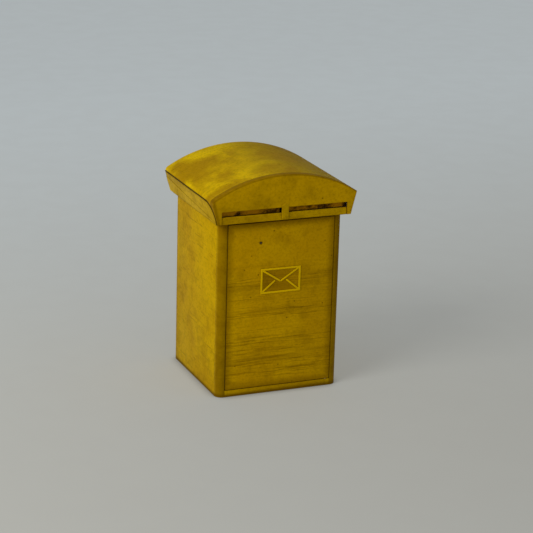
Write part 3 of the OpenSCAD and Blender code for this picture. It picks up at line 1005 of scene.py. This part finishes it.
class Wardrobe:
    """Every finish, made once from the shared shader groups."""

    def __init__(self) -> None:
        """Build the shelf of groups and the materials."""
        self.shelf = ShaderShelf()
        make = self.make
        door_low, door_high = place("door_skin")
        self.paint = make(YellowPaint("painted_steel"))
        # roof and rear gable: painted light, lighter towards the left and darker to the right
        self.roof = make(YellowPaint("painted_steel_roof", base=(0.57, 0.365, 0.0), drag=0.05, blotch=0.11,
                                     lit=(0.98, 0.66, 0.0)))
        # corner posts: painted shade where they turn to the front
        self.post = make(YellowPaint("painted_steel_post", nose=0.58))
        # painted shadow: a dark paint for the sheets behind the leaves, standing for the shadow in the
        # seam
        self.bead = make(YellowPaint("painted_seam_shadow", base=(0.10, 0.060, 0.0),
                                     warm=(0.07, 0.040, 0.0), deep=(0.03, 0.016, 0.0), drag=0.0))
        # envelope relief: painted highlight on its raised lines and painted shade on the rest, darker than
        # the door
        self.relief = make(YellowPaint("painted_steel_relief", base=(0.58, 0.32, 0.0),
                                       warm=(0.46, 0.24, 0.0), drag=0.4, rim=0.6,
                                       ridge=(0.95, 0.60, 0.0)))
        self.side = make(YellowPaint("painted_steel_side", base=(0.71, 0.435, 0.0), warm=(0.62, 0.36, 0.0),
                                     drag=0.05, scratch=0.45, blotch=0.22))
        self.leaf = make(YellowPaint("painted_steel_leaf", base=(0.76, 0.49, 0.018),
                                     warm=(0.64, 0.40, 0.010), drag=0.1, edge=0.009, rim=0.95))
        # front door: its base is more orange than the side's, the hue of painted shade on the front
        self.front = make(YellowPaint(
            "painted_steel_door", base=(0.71, 0.405, 0.0), warm=(0.64, 0.35, 0.0), drag=0.56, blotch=0.26,
            drag_top=0.72, border=0.05,
            box=((door_low.x, -9, door_low.z), (door_high.x, 9, door_high.z))))
        self.zinc = make(ZincSheet())
        # lock steel near black: painted shade, so its face reads as the dark keyhole
        self.steel = make(TurnedMetal("turned_steel", (0.06, 0.06, 0.062), (0.02, 0.02, 0.021), 0.5))
        self.brass = make(TurnedMetal("cut_brass", (0.60, 0.42, 0.17), (0.33, 0.22, 0.09)))
        # flaps: near black with brown patches, dirt and painted shade of the recess behind the slots
        self.flap = make(DarkCoat("flap_brown", (0.045, 0.016, 0.0), (0.62, 0.27, 0.0),
                                  (0.40, 0.20, 0.0), patchy=0.95, gloss=0.05))
        self.rubber = make(DarkCoat("black_rubber", (0.012, 0.012, 0.012), (0.05, 0.05, 0.048),
                                    (0.03, 0.03, 0.03), 0.75))
        self.plastic = make(DarkCoat("bin_grey", (0.14, 0.16, 0.18), (0.24, 0.25, 0.25),
                                     (0.33, 0.34, 0.35), 0.5, 0.6))
        self.paper = make(PaperSweep())

    def make(self, finish: Finish) -> Material:
        """Build one finish's material."""
        return finish.make(self.shelf)

    def plain(self, slot: Slot) -> Material:
        """The finish of a CAD node that keeps its own shape."""
        return {Slot.PAINT: self.paint, Slot.ZINC: self.zinc, Slot.STEEL: self.steel,
                Slot.FLAP: self.flap, Slot.RUBBER: self.rubber, Slot.BRASS: self.brass,
                Slot.PLASTIC: self.plastic}[slot]


def dress(piece: Piece, material: Material, slot: Slot, body: str,
          *nodes: str) -> None:
    """Give a new piece its finish and its body, and hide the nodes it stands for.

    Args:
        piece: The new piece.
        material: Its finish.
        slot: The record's slot of that finish; not used.
        body: The body it rides on.
        nodes: CAD nodes that it replaces.
    """
    look_at_nothing()
    piece.data.materials.clear()
    piece.data.materials.append(material)
    for face in piece.data.polygons:
        face.material_index = 0
    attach(piece, body)
    if nodes:
        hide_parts(*nodes)
    log.info("%s rides on %s, %d faces", piece.name, body, len(piece.data.polygons))


# ---------------------------------------------------------------- sub-assemblies


@dataclass
class Cabinet:
    """The painted sheets round the cabinet, with their soft corners and rolled edges.

    Attributes:
        wardrobe: The finishes.
        sheet: Thickness of the sheet.
        radius: Outer radius of the corners.
        roll: Radius of the small rolled edges.
        keeper_gap: Gap round the side bolt in its slot.
        keeper_reach: How far that slot reaches left of the bolt.
        rod_gap: Gap round the lower rod in the threshold.
        pin_hole: Radius of the pivot pin's hole.
        anchors: Distances of the anchor holes from the middle.
        anchor_hole: Radius of an anchor hole.
        foot_round: Radius of the base plate's lower edge.
    """

    wardrobe: Wardrobe
    sheet: float = 0.003
    radius: float = 0.040
    roll: float = 0.0012
    keeper_gap: float = 0.0006
    keeper_reach: float = 0.011
    rod_gap: float = 0.001
    pin_hole: float = 0.0056
    anchors: Span = (0.270, 0.260)
    anchor_hole: float = 0.007
    foot_round: float = 0.0035

    def build(self) -> None:
        """Build and dress every sheet."""
        self.posts()
        self.panels()
        self.threshold()
        self.base()

    def turned_corner(self, name: str, low: float, high: float) -> Piece:
        """Spin the sheet's edge round the back right corner.

        Args:
            name: The piece's name.
            low: Height of its foot.
            high: Height of its top.

        Returns:
            The quarter round.
        """
        _, outer = place("side_panel_right")
        back = outer.y
        corner = add_box(name, (outer.x - self.sheet, back - 1e-4, low), (outer.x, back, high))
        pick(corner, "FACE", lambda _p, n: n.y > 0.9)
        bpy.ops.mesh.spin(steps=14, angle=math.radians(-90), axis=(0, 0, 1),
                          center=(outer.x - self.radius, back, 0))
        done()
        faces_out(corner)
        return corner

    def posts(self) -> None:
        """Build the four corner posts; the front ones carry the jambs of the door."""
        for depth in ("rear", "front"):
            low, high = place(f"corner_post_{depth}_right")
            post = self.turned_corner(f"{depth}_post_right", low.z, high.z)
            if depth == "front":
                self.add_jamb(post, low.x, high.y - low.y)
            soften(post, self.roll, 2)
            if depth == "front":
                flip(post, (0, 1, 0))
            twin = mirror_copy(post, f"{depth}_post_left")
            if depth == "front":
                low, high = place("side_bolt")
                room = Vector((0, self.keeper_gap, self.keeper_gap))
                cut(twin, add_box("tool", low - room - Vector((self.keeper_reach, 0, 0)), high + room))
            for side, piece in ((Side.RIGHT, post), (Side.LEFT, twin)):
                dress(piece, self.wardrobe.post, Slot.PAINT, "cabinet",
                      f"corner_post_{depth}_{side.word}")

    def add_jamb(self, post: Piece, jamb_x: float, depth: float) -> None:
        """Extrude the strip beside the door and the jamb behind it.

        Args:
            post: The quarter round, still at the back.
            jamb_x: Distance of the jamb's face from the middle.
            depth: Depth of the jamb.
        """
        end_y = max(v.co.y for v in post.data.vertices)
        pick(post, "FACE", lambda p, n: n.x < -0.9 and p.y > end_y - self.sheet)
        end_x = min(v.co.x for v in post.data.vertices)
        strip = end_x - jamb_x - self.sheet
        for reach in (strip, self.sheet):
            extrude(-reach, 0, 0)
        done()
        inner = jamb_x + self.sheet
        pick(post, "FACE", lambda p, n: n.y < -0.9 and p.x < inner and p.y > end_y - 2 * self.sheet)
        extrude(0, self.sheet - depth, 0)
        done()

    def panels(self) -> None:
        """Build the side and back panels with their rolled long edges."""
        low, high = place("side_panel_right")
        right = add_box("side_panel_right_sheet", low, high)
        soften(right, self.roll, 2)
        left = mirror_copy(right, "side_panel_left_sheet")
        for side, piece in ((Side.RIGHT, right), (Side.LEFT, left)):
            dress(piece, self.wardrobe.side, Slot.PAINT, "cabinet", f"side_panel_{side.word}")
        low, high = place("back_panel")
        back = add_box("back_panel_sheet", low, high)
        soften(back, self.roll, 2)
        dress(back, self.wardrobe.side, Slot.PAINT, "cabinet", "back_panel")

    def threshold(self) -> None:
        """Build the folded threshold with a groove above its lower edge, and the door head."""
        low, high = place("door_threshold")
        lip = add_box("threshold_fold", low, (high.x, low.y + self.sheet, high.z))
        top = add_box("tread", (low.x, low.y, high.z - 0.008), high)
        cut(lip, top, "UNION")
        pin_low, pin_high = place("pivot_washer")
        pin, reach = (pin_low + pin_high) / 2, Vector((0, 0, 0.1))
        cut(lip, add_rod("tool", pin - reach, pin + reach, self.pin_hole, 40))
        rod_low, rod_high = place("latch_rod_lower")
        gap = Vector((self.rod_gap, self.rod_gap, 0.1))
        cut(lip, add_box("tool", (rod_low.x - gap.x, rod_low.y - gap.y, high.z - gap.z),
                         (rod_high.x + gap.x, rod_high.y + gap.y, high.z + gap.z)))
        soften(lip, self.roll, 2)
        dress(lip, self.wardrobe.paint, Slot.PAINT, "cabinet", "door_threshold")

    def base(self) -> None:
        """Build the base plate with its round corners, soft foot and anchor holes."""
        low, high = place("base_plate")
        plate = add_box("base_plate_cast", low, high)
        round_edges(plate, lambda _p, d: abs(d.z) > 0.9, self.radius, 14)
        far_x, far_y = self.anchors
        reach = Vector((0, 0, 0.1))
        for x in (-far_x, far_x):
            for y in (-far_y, far_y):
                bolt = Vector((x, y, 0))
                cut(plate, add_rod("tool", bolt - reach, bolt + reach, self.anchor_hole, 32))
        rim = max(self.anchors) + self.radius
        round_edges(plate, lambda p, d: near(p.z, low.z) and abs(d.z) < 0.1
                    and max(abs(p.x), abs(p.y)) > rim, self.foot_round, 3)
        smooth(plate)
        dress(plate, self.wardrobe.paint, Slot.PAINT, "cabinet", "base_plate")


@dataclass
class Hood:
    """The hood: a soft-cornered vaulted shell between two deep gables, with a leaf on each side.

    Attributes:
        wardrobe: The finishes.
        foot: Half width of the underside.
        flare: Half width gained at the eaves.
        eave_rise: Height of the eaves above the underside.
        vault_rise: Height of the ridge above the eaves.
        roof_t: Thickness of the shell.
        gable_d: Depth of the front gable.
        rear_d: Depth of the rear gable.
        soft: Radius of the left eave.
        crisp: Radius of the right eave.
        arch: Radius of the edges of both gables.
        leaf_drop: Distance of a leaf's top below the eave.
        leaf_round: Radius of a leaf's front top corner.
        tail: Radius of a leaf's lower back corner.
        lift: Gap between the new pieces and the cabinet's top.
        fit: Gap round the flaps' brackets in the pocket behind the slots.
        leaf_front: Distance of a leaf's front edge behind the hood's.
        leaf_back: Distance of a leaf's back edge before the hood's.
        fold: Height of the fold along a leaf, at its front.
        fold_lean: Slope of that fold.
        fold_step: How far the strip below the fold stands out.
    """

    wardrobe: Wardrobe
    foot: float = 0.379
    flare: float = 0.032
    eave_rise: float = 0.126
    vault_rise: float = 0.120
    roof_t: float = 0.004
    gable_d: float = 0.040
    rear_d: float = 0.090
    soft: float = 0.026
    crisp: float = 0.007
    arch: float = 0.0045
    leaf_drop: float = 0.017
    leaf_round: float = 0.098
    tail: float = 0.064
    lift: float = 0.0003
    fit: float = 0.0006
    leaf_front: float = 0.011
    leaf_back: float = 0.009
    fold: float = 0.012
    fold_lean: float = 0.10
    fold_step: float = 0.0014

    def __post_init__(self) -> None:
        """Work out the vault from its chord and rise."""
        low, high = place("roof_sheet")
        self.front, self.back = low.y, high.y
        underside = place("hood_base")[0].z
        self.base = underside + self.lift
        self.eave = underside + self.eave_rise
        self.ridge = self.eave + self.vault_rise
        half = self.foot + self.flare
        self.vault = (half**2 + self.vault_rise**2) / (2 * self.vault_rise)
        self.axis = self.ridge - self.vault
        self.lean = self.flare / self.eave_rise

    def build(self) -> None:
        """Build and dress the whole hood."""
        self.front_gable()
        self.rear_gable()
        self.shell()
        self.leaves()

    def eave_arc(self, radius: float, inset: float) -> list[Span]:
        """Points up the right side and round its eave.

        Args:
            radius: Radius of the eave.
            inset: How far inside the hood's face the points lie.

        Returns:
            Points (x, z) from the foot to the start of the vault.
        """
        up = Vector((self.lean, 1)).normalized()
        inward = Vector((-up.y, up.x))
        foot = Vector((self.foot, self.base)) + inward * inset
        foot = foot + up * ((self.base - foot.y) / up.y)
        radius = max(radius - inset, 0.001)
        reach = self.vault - inset - radius
        start = foot + inward * radius - Vector((0, self.axis))
        along = start.dot(up)
        rise = -along + math.sqrt(along**2 - start.dot(start) + reach**2)
        centre = foot + inward * radius + up * rise
        first = math.atan2(-inward.y, -inward.x)
        last = math.atan2(centre.y - self.axis, centre.x)
        steps = 10
        turns = [first + (last - first) * i / steps for i in range(steps + 1)]
        return [tuple(foot)] + [(centre.x + radius * math.cos(t), centre.y + radius * math.sin(t))
                                for t in turns]

    def outline(self, inset: float) -> list[Span]:
        """Points (x, z) round the hood's section, from the right foot over to the left."""
        right = self.eave_arc(self.crisp, inset)
        left = [(-x, z) for x, z in reversed(self.eave_arc(self.soft, inset))]
        a, b = (math.atan2(z - self.axis, x) for x, z in (right[-1], left[0]))
        steps = 64
        radius = self.vault - inset
        vault = [(radius * math.cos(a + (b - a) * i / steps),
                  self.axis + radius * math.sin(a + (b - a) * i / steps)) for i in range(1, steps)]
        return right + vault + left

    def form(self, name: str, y0: float, y1: float, inset: float = 0) -> Piece:
        """Extrude the hood's section.

        Args:
            name: The piece's name.
            y0: Its front.
            y1: Its back.
            inset: How far inside the hood's face it lies.

        Returns:
            The solid.
        """
        points = self.outline(inset)
        look_at_nothing()
        bpy.ops.mesh.primitive_circle_add(vertices=len(points), fill_type="NGON")
        solid = settle(bpy.context.object, name)
        for vertex, (x, z) in zip(solid.data.vertices, points):
            vertex.co = (x, y0, z)
        pick(solid, "FACE", everything)
        extrude(0, y1 - y0, 0)
        done()
        faces_out(solid)
        return solid

    def soften_end(self, solid: Piece, end: float) -> None:
        """Round the edges of one end.

        Args:
            solid: The piece.
            end: Depth of the end's face.
        """
        round_edges(solid, lambda p, d: near(p.y, end) and abs(d.y) < 0.5, self.arch, 4)

    def front_gable(self) -> None:
        """Front gable with soft corners, its slot and the pocket for the flaps."""
        gable = self.form("front_gable_casting", self.front, self.front + self.gable_d)
        self.soften_end(gable, self.front)
        low, high = place("slot_sill")
        ears_low, ears_high = place("flap_brackets")
        face = ears_low.y
        notch = add_box("tool", (low.x, self.front - 0.1, self.base - 0.1),
                        (high.x, face + 0.01, ears_low.z))
        round_edges(notch, lambda p, d: abs(d.y) > 0.9 and p.z > self.base, 0.004, 4)
        cut(gable, notch)
        pocket = add_box("tool", (ears_low.x - self.fit, face, self.base - 0.1),
                         (ears_high.x + self.fit, face + 0.2, ears_high.z + self.fit))
        cut(gable, pocket)
        smooth(gable, 32)
        dress(gable, self.gable_paint(), Slot.PAINT, "cabinet", "front_gable")

    def gable_paint(self) -> Material:
        """Paint of the front gable, more orange as painted shade on the front, with painted shade along
        its leaning left edge and darker along the vault.
        """
        underside = self.base - self.lift
        return self.wardrobe.make(YellowPaint(
            "painted_steel_gable", base=(0.70, 0.395, 0.0), drag=0.0, blotch=0.22,
            corner=(self.foot - underside * self.lean, self.lean), vault=(self.axis, self.vault)))

    def rear_gable(self) -> None:
        """Rear gable with soft corners."""
        gable = self.form("rear_gable_casting", self.back - self.rear_d, self.back)
        self.soften_end(gable, self.back)
        smooth(gable, 32)
        dress(gable, self.wardrobe.roof, Slot.PAINT, "cabinet", "rear_gable")

    def shell(self) -> None:
        """Vaulted shell with its soft eaves, open below."""
        start, end = self.front + self.gable_d, self.back - self.rear_d
        shell = self.form("roof_shell", start, end)
        hollow = self.form("tool", start - 0.1, end + 0.1, self.roof_t)
        pick(hollow, "VERT", lambda p, _n: p.z < self.base + 0.001)
        bpy.ops.transform.translate(value=(0, 0, -0.05))
        done()
        cut(shell, hollow)
        smooth(shell, 32)
        dress(shell, self.wardrobe.roof, Slot.PAINT, "cabinet", "roof_sheet")

    def leaf_sheet(self, name: str, thick: float, proud: float, low: float,
                   grow: float) -> Piece:
        """Build one leaf-shaped sheet, still upright at the right.

        Args:
            name: The piece's name.
            thick: Its thickness.
            proud: How far it stands out from the shell's side.
            low: Height of its lower edge above the hood's underside.
            grow: How much larger it is than the leaf along the top and the front.

        Returns:
            The sheet.
        """
        slant = math.atan(self.lean)
        height = (self.eave_rise - self.leaf_drop + grow) / math.cos(slant)
        leaf = add_box(name, (self.foot + proud - thick, self.front + self.leaf_front - grow,
                              self.base + low),
                       (self.foot + proud, self.back - self.leaf_back + grow, self.base + height))
        round_edges(leaf, lambda p, d: abs(d.x) > 0.9 and p.y < 0 and p.z > self.base + 0.05,
                    self.leaf_round, 18)
        round_edges(leaf, lambda p, d: abs(d.x) > 0.9 and p.y > 0 and p.z < self.base + 0.02,
                    self.tail, 12)
        return leaf

    def lean_out(self, sheet: Piece) -> None:
        """Lean an upright sheet out with the flare."""
        pick(sheet, "VERT", everything)
        bpy.ops.transform.rotate(value=-math.atan(self.lean), orient_axis="Y",
                                 center_override=(self.foot, 0, self.base))
        done()

    def leaves(self) -> None:
        """Leaf-shaped outer sheets, each on a dark sheet of painted seam shadow that shows round its edge,
        with a fold along the lower part.
        """
        leaf = self.leaf_sheet("eave_right_leaf", 0.003, 0.0026, 0.0035, 0)
        pick(leaf, "FACE", lambda _p, n: n.x > 0.9)
        bpy.ops.mesh.bisect(plane_co=(self.foot, self.front, self.base + self.fold),
                            plane_no=(0, -self.fold_lean, 1), use_fill=False)
        done()
        pick(leaf, "FACE", lambda p, n: n.x > 0.9 and p.z < self.base + 0.05)
        extrude(self.fold_step, 0, 0)
        done()
        # a dark sheet a little larger than the leaf: the painted shadow in the seam round it
        bead = self.leaf_sheet("eave_right_seam_shadow", 0.001, 0.0009, 0, 0.007)
        for sheet in (leaf, bead):
            self.lean_out(sheet)
            soften(sheet, 0.0009 if sheet is leaf else 0.0003, 2, 40)
        twins = (mirror_copy(leaf, "eave_left_leaf"), mirror_copy(bead, "eave_left_seam_shadow"))
        for side, pair in ((Side.RIGHT, (leaf, bead)), (Side.LEFT, twins)):
            dress(pair[0], self.wardrobe.leaf, Slot.PAINT, "cabinet", f"eave_panel_{side.word}")
            dress(pair[1], self.wardrobe.bead, Slot.PAINT, "cabinet")


@dataclass
class SlotFront:
    """Sill and divider of the posting slots.

    Attributes:
        wardrobe: The finishes.
        round: Radius of the sill's front edges.
        panel: Width of the frame round the sill's sunken face.
        sunk: How deep that face lies.
        divider_round: Radius of the divider's edges.
    """

    wardrobe: Wardrobe
    round: float = 0.0045
    panel: float = 0.008
    sunk: float = 0.0012
    divider_round: float = 0.0035

    def build(self) -> None:
        """Build and dress both."""
        low, high = place("slot_sill")
        sill = add_box("sill_bar", low, high)
        pick(sill, "FACE", lambda _p, n: n.y < -0.9)
        bpy.ops.mesh.inset(thickness=self.panel, depth=-self.sunk)
        done()
        soften(sill, self.round, 4, 50)
        dress(sill, self.wardrobe.paint, Slot.PAINT, "cabinet", "slot_sill")
        low, high = place("slot_divider")
        divider = add_box("divider_bar", low, high)
        soften(divider, self.divider_round, 4)
        dress(divider, self.wardrobe.paint, Slot.PAINT, "cabinet", "slot_divider")


@dataclass
class Door:
    """Door skin and its envelope relief.

    Attributes:
        wardrobe: The finishes.
        corner: Radius of the skin's corners.
        round: Radius of the skin's front edge.
        relief_back: Thickness of the envelope's plate.
        rim: Width of the envelope's rim.
        fold: Half width of a fold.
        fold_end: Distance of a fold's outer end from the envelope's edges.
        fold_low: How far a fold lies below the rim's face.
        tip_drop: Distance of the flap's tip below the middle.
        side_fold: Inner ends of the lower folds, as a share of the half width.
        relief_round: Radius of the envelope's edges.
    """

    wardrobe: Wardrobe
    corner: float = 0.006
    round: float = 0.0028
    relief_back: float = 0.0015
    rim: float = 0.011
    fold: float = 0.005
    fold_end: float = 0.008
    fold_low: float = 0.0004
    tip_drop: float = 0.006
    side_fold: float = 0.28
    relief_round: float = 0.0016

    def build(self) -> None:
        """Build and dress both."""
        self.skin()
        self.emblem()

    def skin(self) -> None:
        """Skin with round corners, a soft edge and the hole for the lock."""
        low, high = place("door_skin")
        skin = add_box("door_skin_sheet", low, high)
        round_edges(skin, lambda _p, d: abs(d.y) > 0.9, self.corner, 6)
        ring_low, ring_high = place("lock_housing")
        middle = (ring_low + ring_high) / 2
        hole = add_rod("tool", Vector((middle.x, low.y - 0.1, middle.z)),
                       Vector((middle.x, high.y + 0.1, middle.z)), (ring_high.x - ring_low.x) / 2, 64)
        cut(skin, hole)
        round_edges(skin, lambda p, d: near(p.y, low.y) and abs(d.y) < 0.1
                    and (p.x - middle.x) ** 2 + (p.z - middle.z) ** 2 > 0.02 ** 2, self.round, 4)
        smooth(skin)
        dress(skin, self.wardrobe.front, Slot.PAINT, "door", "door_skin")

    def emblem(self) -> None:
        """Envelope in low relief: a plate, a raised rim and the folds."""
        low, high = place("door_emblem")
        middle = (low + high) / 2
        half_w, half_h = (high.x - low.x) / 2, (high.z - low.z) / 2
        inside = self.rim + 0.001
        plate = add_box("envelope", (low.x, high.y - self.relief_back, low.z), high)
        pick(plate, "FACE", lambda _p, n: n.y < -0.9)
        bpy.ops.mesh.inset(thickness=self.rim, depth=0)
        done()
        pick(plate, "FACE", lambda p, n: n.y < -0.9
             and (abs(p.x - middle.x) > half_w - inside or abs(p.z - middle.z) > half_h - inside))
        extrude(0, low.y - high.y + self.relief_back, 0)
        done()
        pieces = [plate]
        tip = Vector((middle.x, middle.y, middle.z - self.tip_drop)) - middle
        for sign in (-1, 1):
            far, side = sign * (half_w - self.fold_end), sign * self.side_fold * half_w
            for start, end in ((tip, Vector((far, 0, half_h - self.fold_end))),
                               (Vector((side, 0, 0)), Vector((far, 0, self.fold_end - half_h)))):
                pieces.append(self.bar(middle, start, end, low.y, high.y))
        whole = join("envelope_relief", pieces)
        soften(whole, self.relief_round, 3)
        dress(whole, self.wardrobe.relief, Slot.PAINT, "door", "door_emblem")

    def bar(self, middle: Vector, start: Vector, end: Vector, face: float, back: float) -> Piece:
        """One fold of the envelope.

        Args:
            middle: Middle of the envelope.
            start: The fold's inner end, seen from that middle.
            end: Its outer end.
            face: Depth of the rim's face.
            back: Depth of the envelope's back.

        Returns:
            The bar, whose line lies in the envelope's plane.
        """
        inner, outer = (middle + point for point in (start, end))
        line = outer - inner
        bar = add_box("fold", (0, face + self.fold_low, -self.fold), (line.length, back, self.fold))
        turn = Matrix.Rotation(-math.atan2(line.z, line.x), 4, "Y")
        bar.data.transform(Matrix.Translation((inner.x, 0, inner.z)) @ turn)
        return bar


# ---------------------------------------------------------------- studio


@dataclass
class Studio:
    """Paper sweep, soft lights and the camera.

    Attributes:
        wardrobe: The finishes.
        azimuth: Degrees that the camera stands to the left of the front.
        elevation: Degrees that it looks down.
        roll: Degrees that it is turned about its own axis.
        distance: Metres from its target.
        target: The point it looks at.
        lens: Focal length in millimetres on a 36 mm sensor.
        key_place: Where the key light hangs.
        key_aim: The point it shines at.
        key_size: Width of its disk.
        key_power: Its power in watts.
        room_light: Strength of the even light from all round.
    """

    wardrobe: Wardrobe
    azimuth: float = 22.744
    elevation: float = 17.575
    roll: float = 1.597
    distance: float = 10.558
    target: Point = (0.0611, 0.0, 0.5978)
    lens: float = 129.96
    key_place: Point = (-6.2, -2.6, 5.0)
    key_aim: Point = (0, 0, 0.6)
    key_size: float = 4.6
    key_power: float = 285.0
    room_light: float = 0.28

    def build(self) -> None:
        """Build the sweep, the lights and the camera."""
        self.sweep()
        self.lights()
        self.camera()

    def sweep(self) -> None:
        """Lay the paper on the ground."""
        look_at_nothing()
        bpy.ops.mesh.primitive_plane_add(size=80, location=(0, 10, 0))
        paper = settle(bpy.context.object, "paper_floor")
        paper.data.materials.append(self.wardrobe.paper)

    def lights(self) -> None:
        """Hang the soft key light and set the even light round the room."""
        world = bpy.data.worlds.new("room")
        bpy.context.scene.world = world
        world.use_nodes = True
        back = world.node_tree.nodes["Background"]
        back.inputs["Color"].default_value = (0.93, 0.96, 1.0, 1)
        back.inputs["Strength"].default_value = self.room_light
        look_at_nothing()
        bpy.ops.object.light_add(type="AREA", location=self.key_place)
        lamp = bpy.context.object
        lamp.name = "key"
        lamp.data.shape = "DISK"
        lamp.data.size = self.key_size
        lamp.data.energy = self.key_power
        lamp.data.color = (1.0, 0.985, 0.95)
        way = Vector(self.key_aim) - Vector(self.key_place)
        lamp.rotation_euler = way.to_track_quat("-Z", "Y").to_euler()

    def camera(self) -> None:
        """Stand the camera to the left of the front, looking slightly down."""
        turn, tilt, lean = (math.radians(a) for a in (self.azimuth, self.elevation, self.roll))
        back = Vector((-math.sin(turn) * math.cos(tilt), -math.cos(turn) * math.cos(tilt),
                       math.sin(tilt)))
        right = (-back).cross(Vector((0, 0, 1))).normalized()
        up = right.cross(-back)
        across = math.cos(lean) * right + math.sin(lean) * up
        upward = -math.sin(lean) * right + math.cos(lean) * up
        look_at_nothing()
        bpy.ops.object.camera_add()
        camera = bpy.context.object
        camera.name = "camera"
        spin = Matrix((across, upward, back)).transposed().to_4x4()
        camera.matrix_world = Matrix.Translation(Vector(self.target) + back * self.distance) @ spin
        camera.data.sensor_width = 36
        camera.data.lens = self.lens
        camera.data.clip_end = 200
        bpy.context.scene.camera = camera


# ---------------------------------------------------------------- the whole box


def dress_cad_nodes(wardrobe: Wardrobe) -> None:
    """Give every CAD node that keeps its shape the finish of its slot.

    Args:
        wardrobe: The finishes.
    """
    slots = {part["node"]: Slot(part["material_slot"]) for part in frame["record"]["subparts"]}
    for name, node in frame["nodes"].items():
        material = wardrobe.plain(slots[name])
        if node.material_slots:
            for held in node.material_slots:
                held.material = material
        else:
            node.data.materials.append(material)


def main() -> None:
    """Build the box from its frame, dress it and light it."""
    logging.basicConfig(level=logging.INFO, format="%(name)s: %(message)s")
    bpy.context.scene.view_settings.view_transform = "Standard"
    wardrobe = Wardrobe()
    Studio(wardrobe).build()
    dress_cad_nodes(wardrobe)
    for assembly in (Cabinet(wardrobe), Hood(wardrobe), SlotFront(wardrobe), Door(wardrobe)):
        assembly.build()
        log.info("%s finished", type(assembly).__name__)


if __name__ == "__main__":
    main()
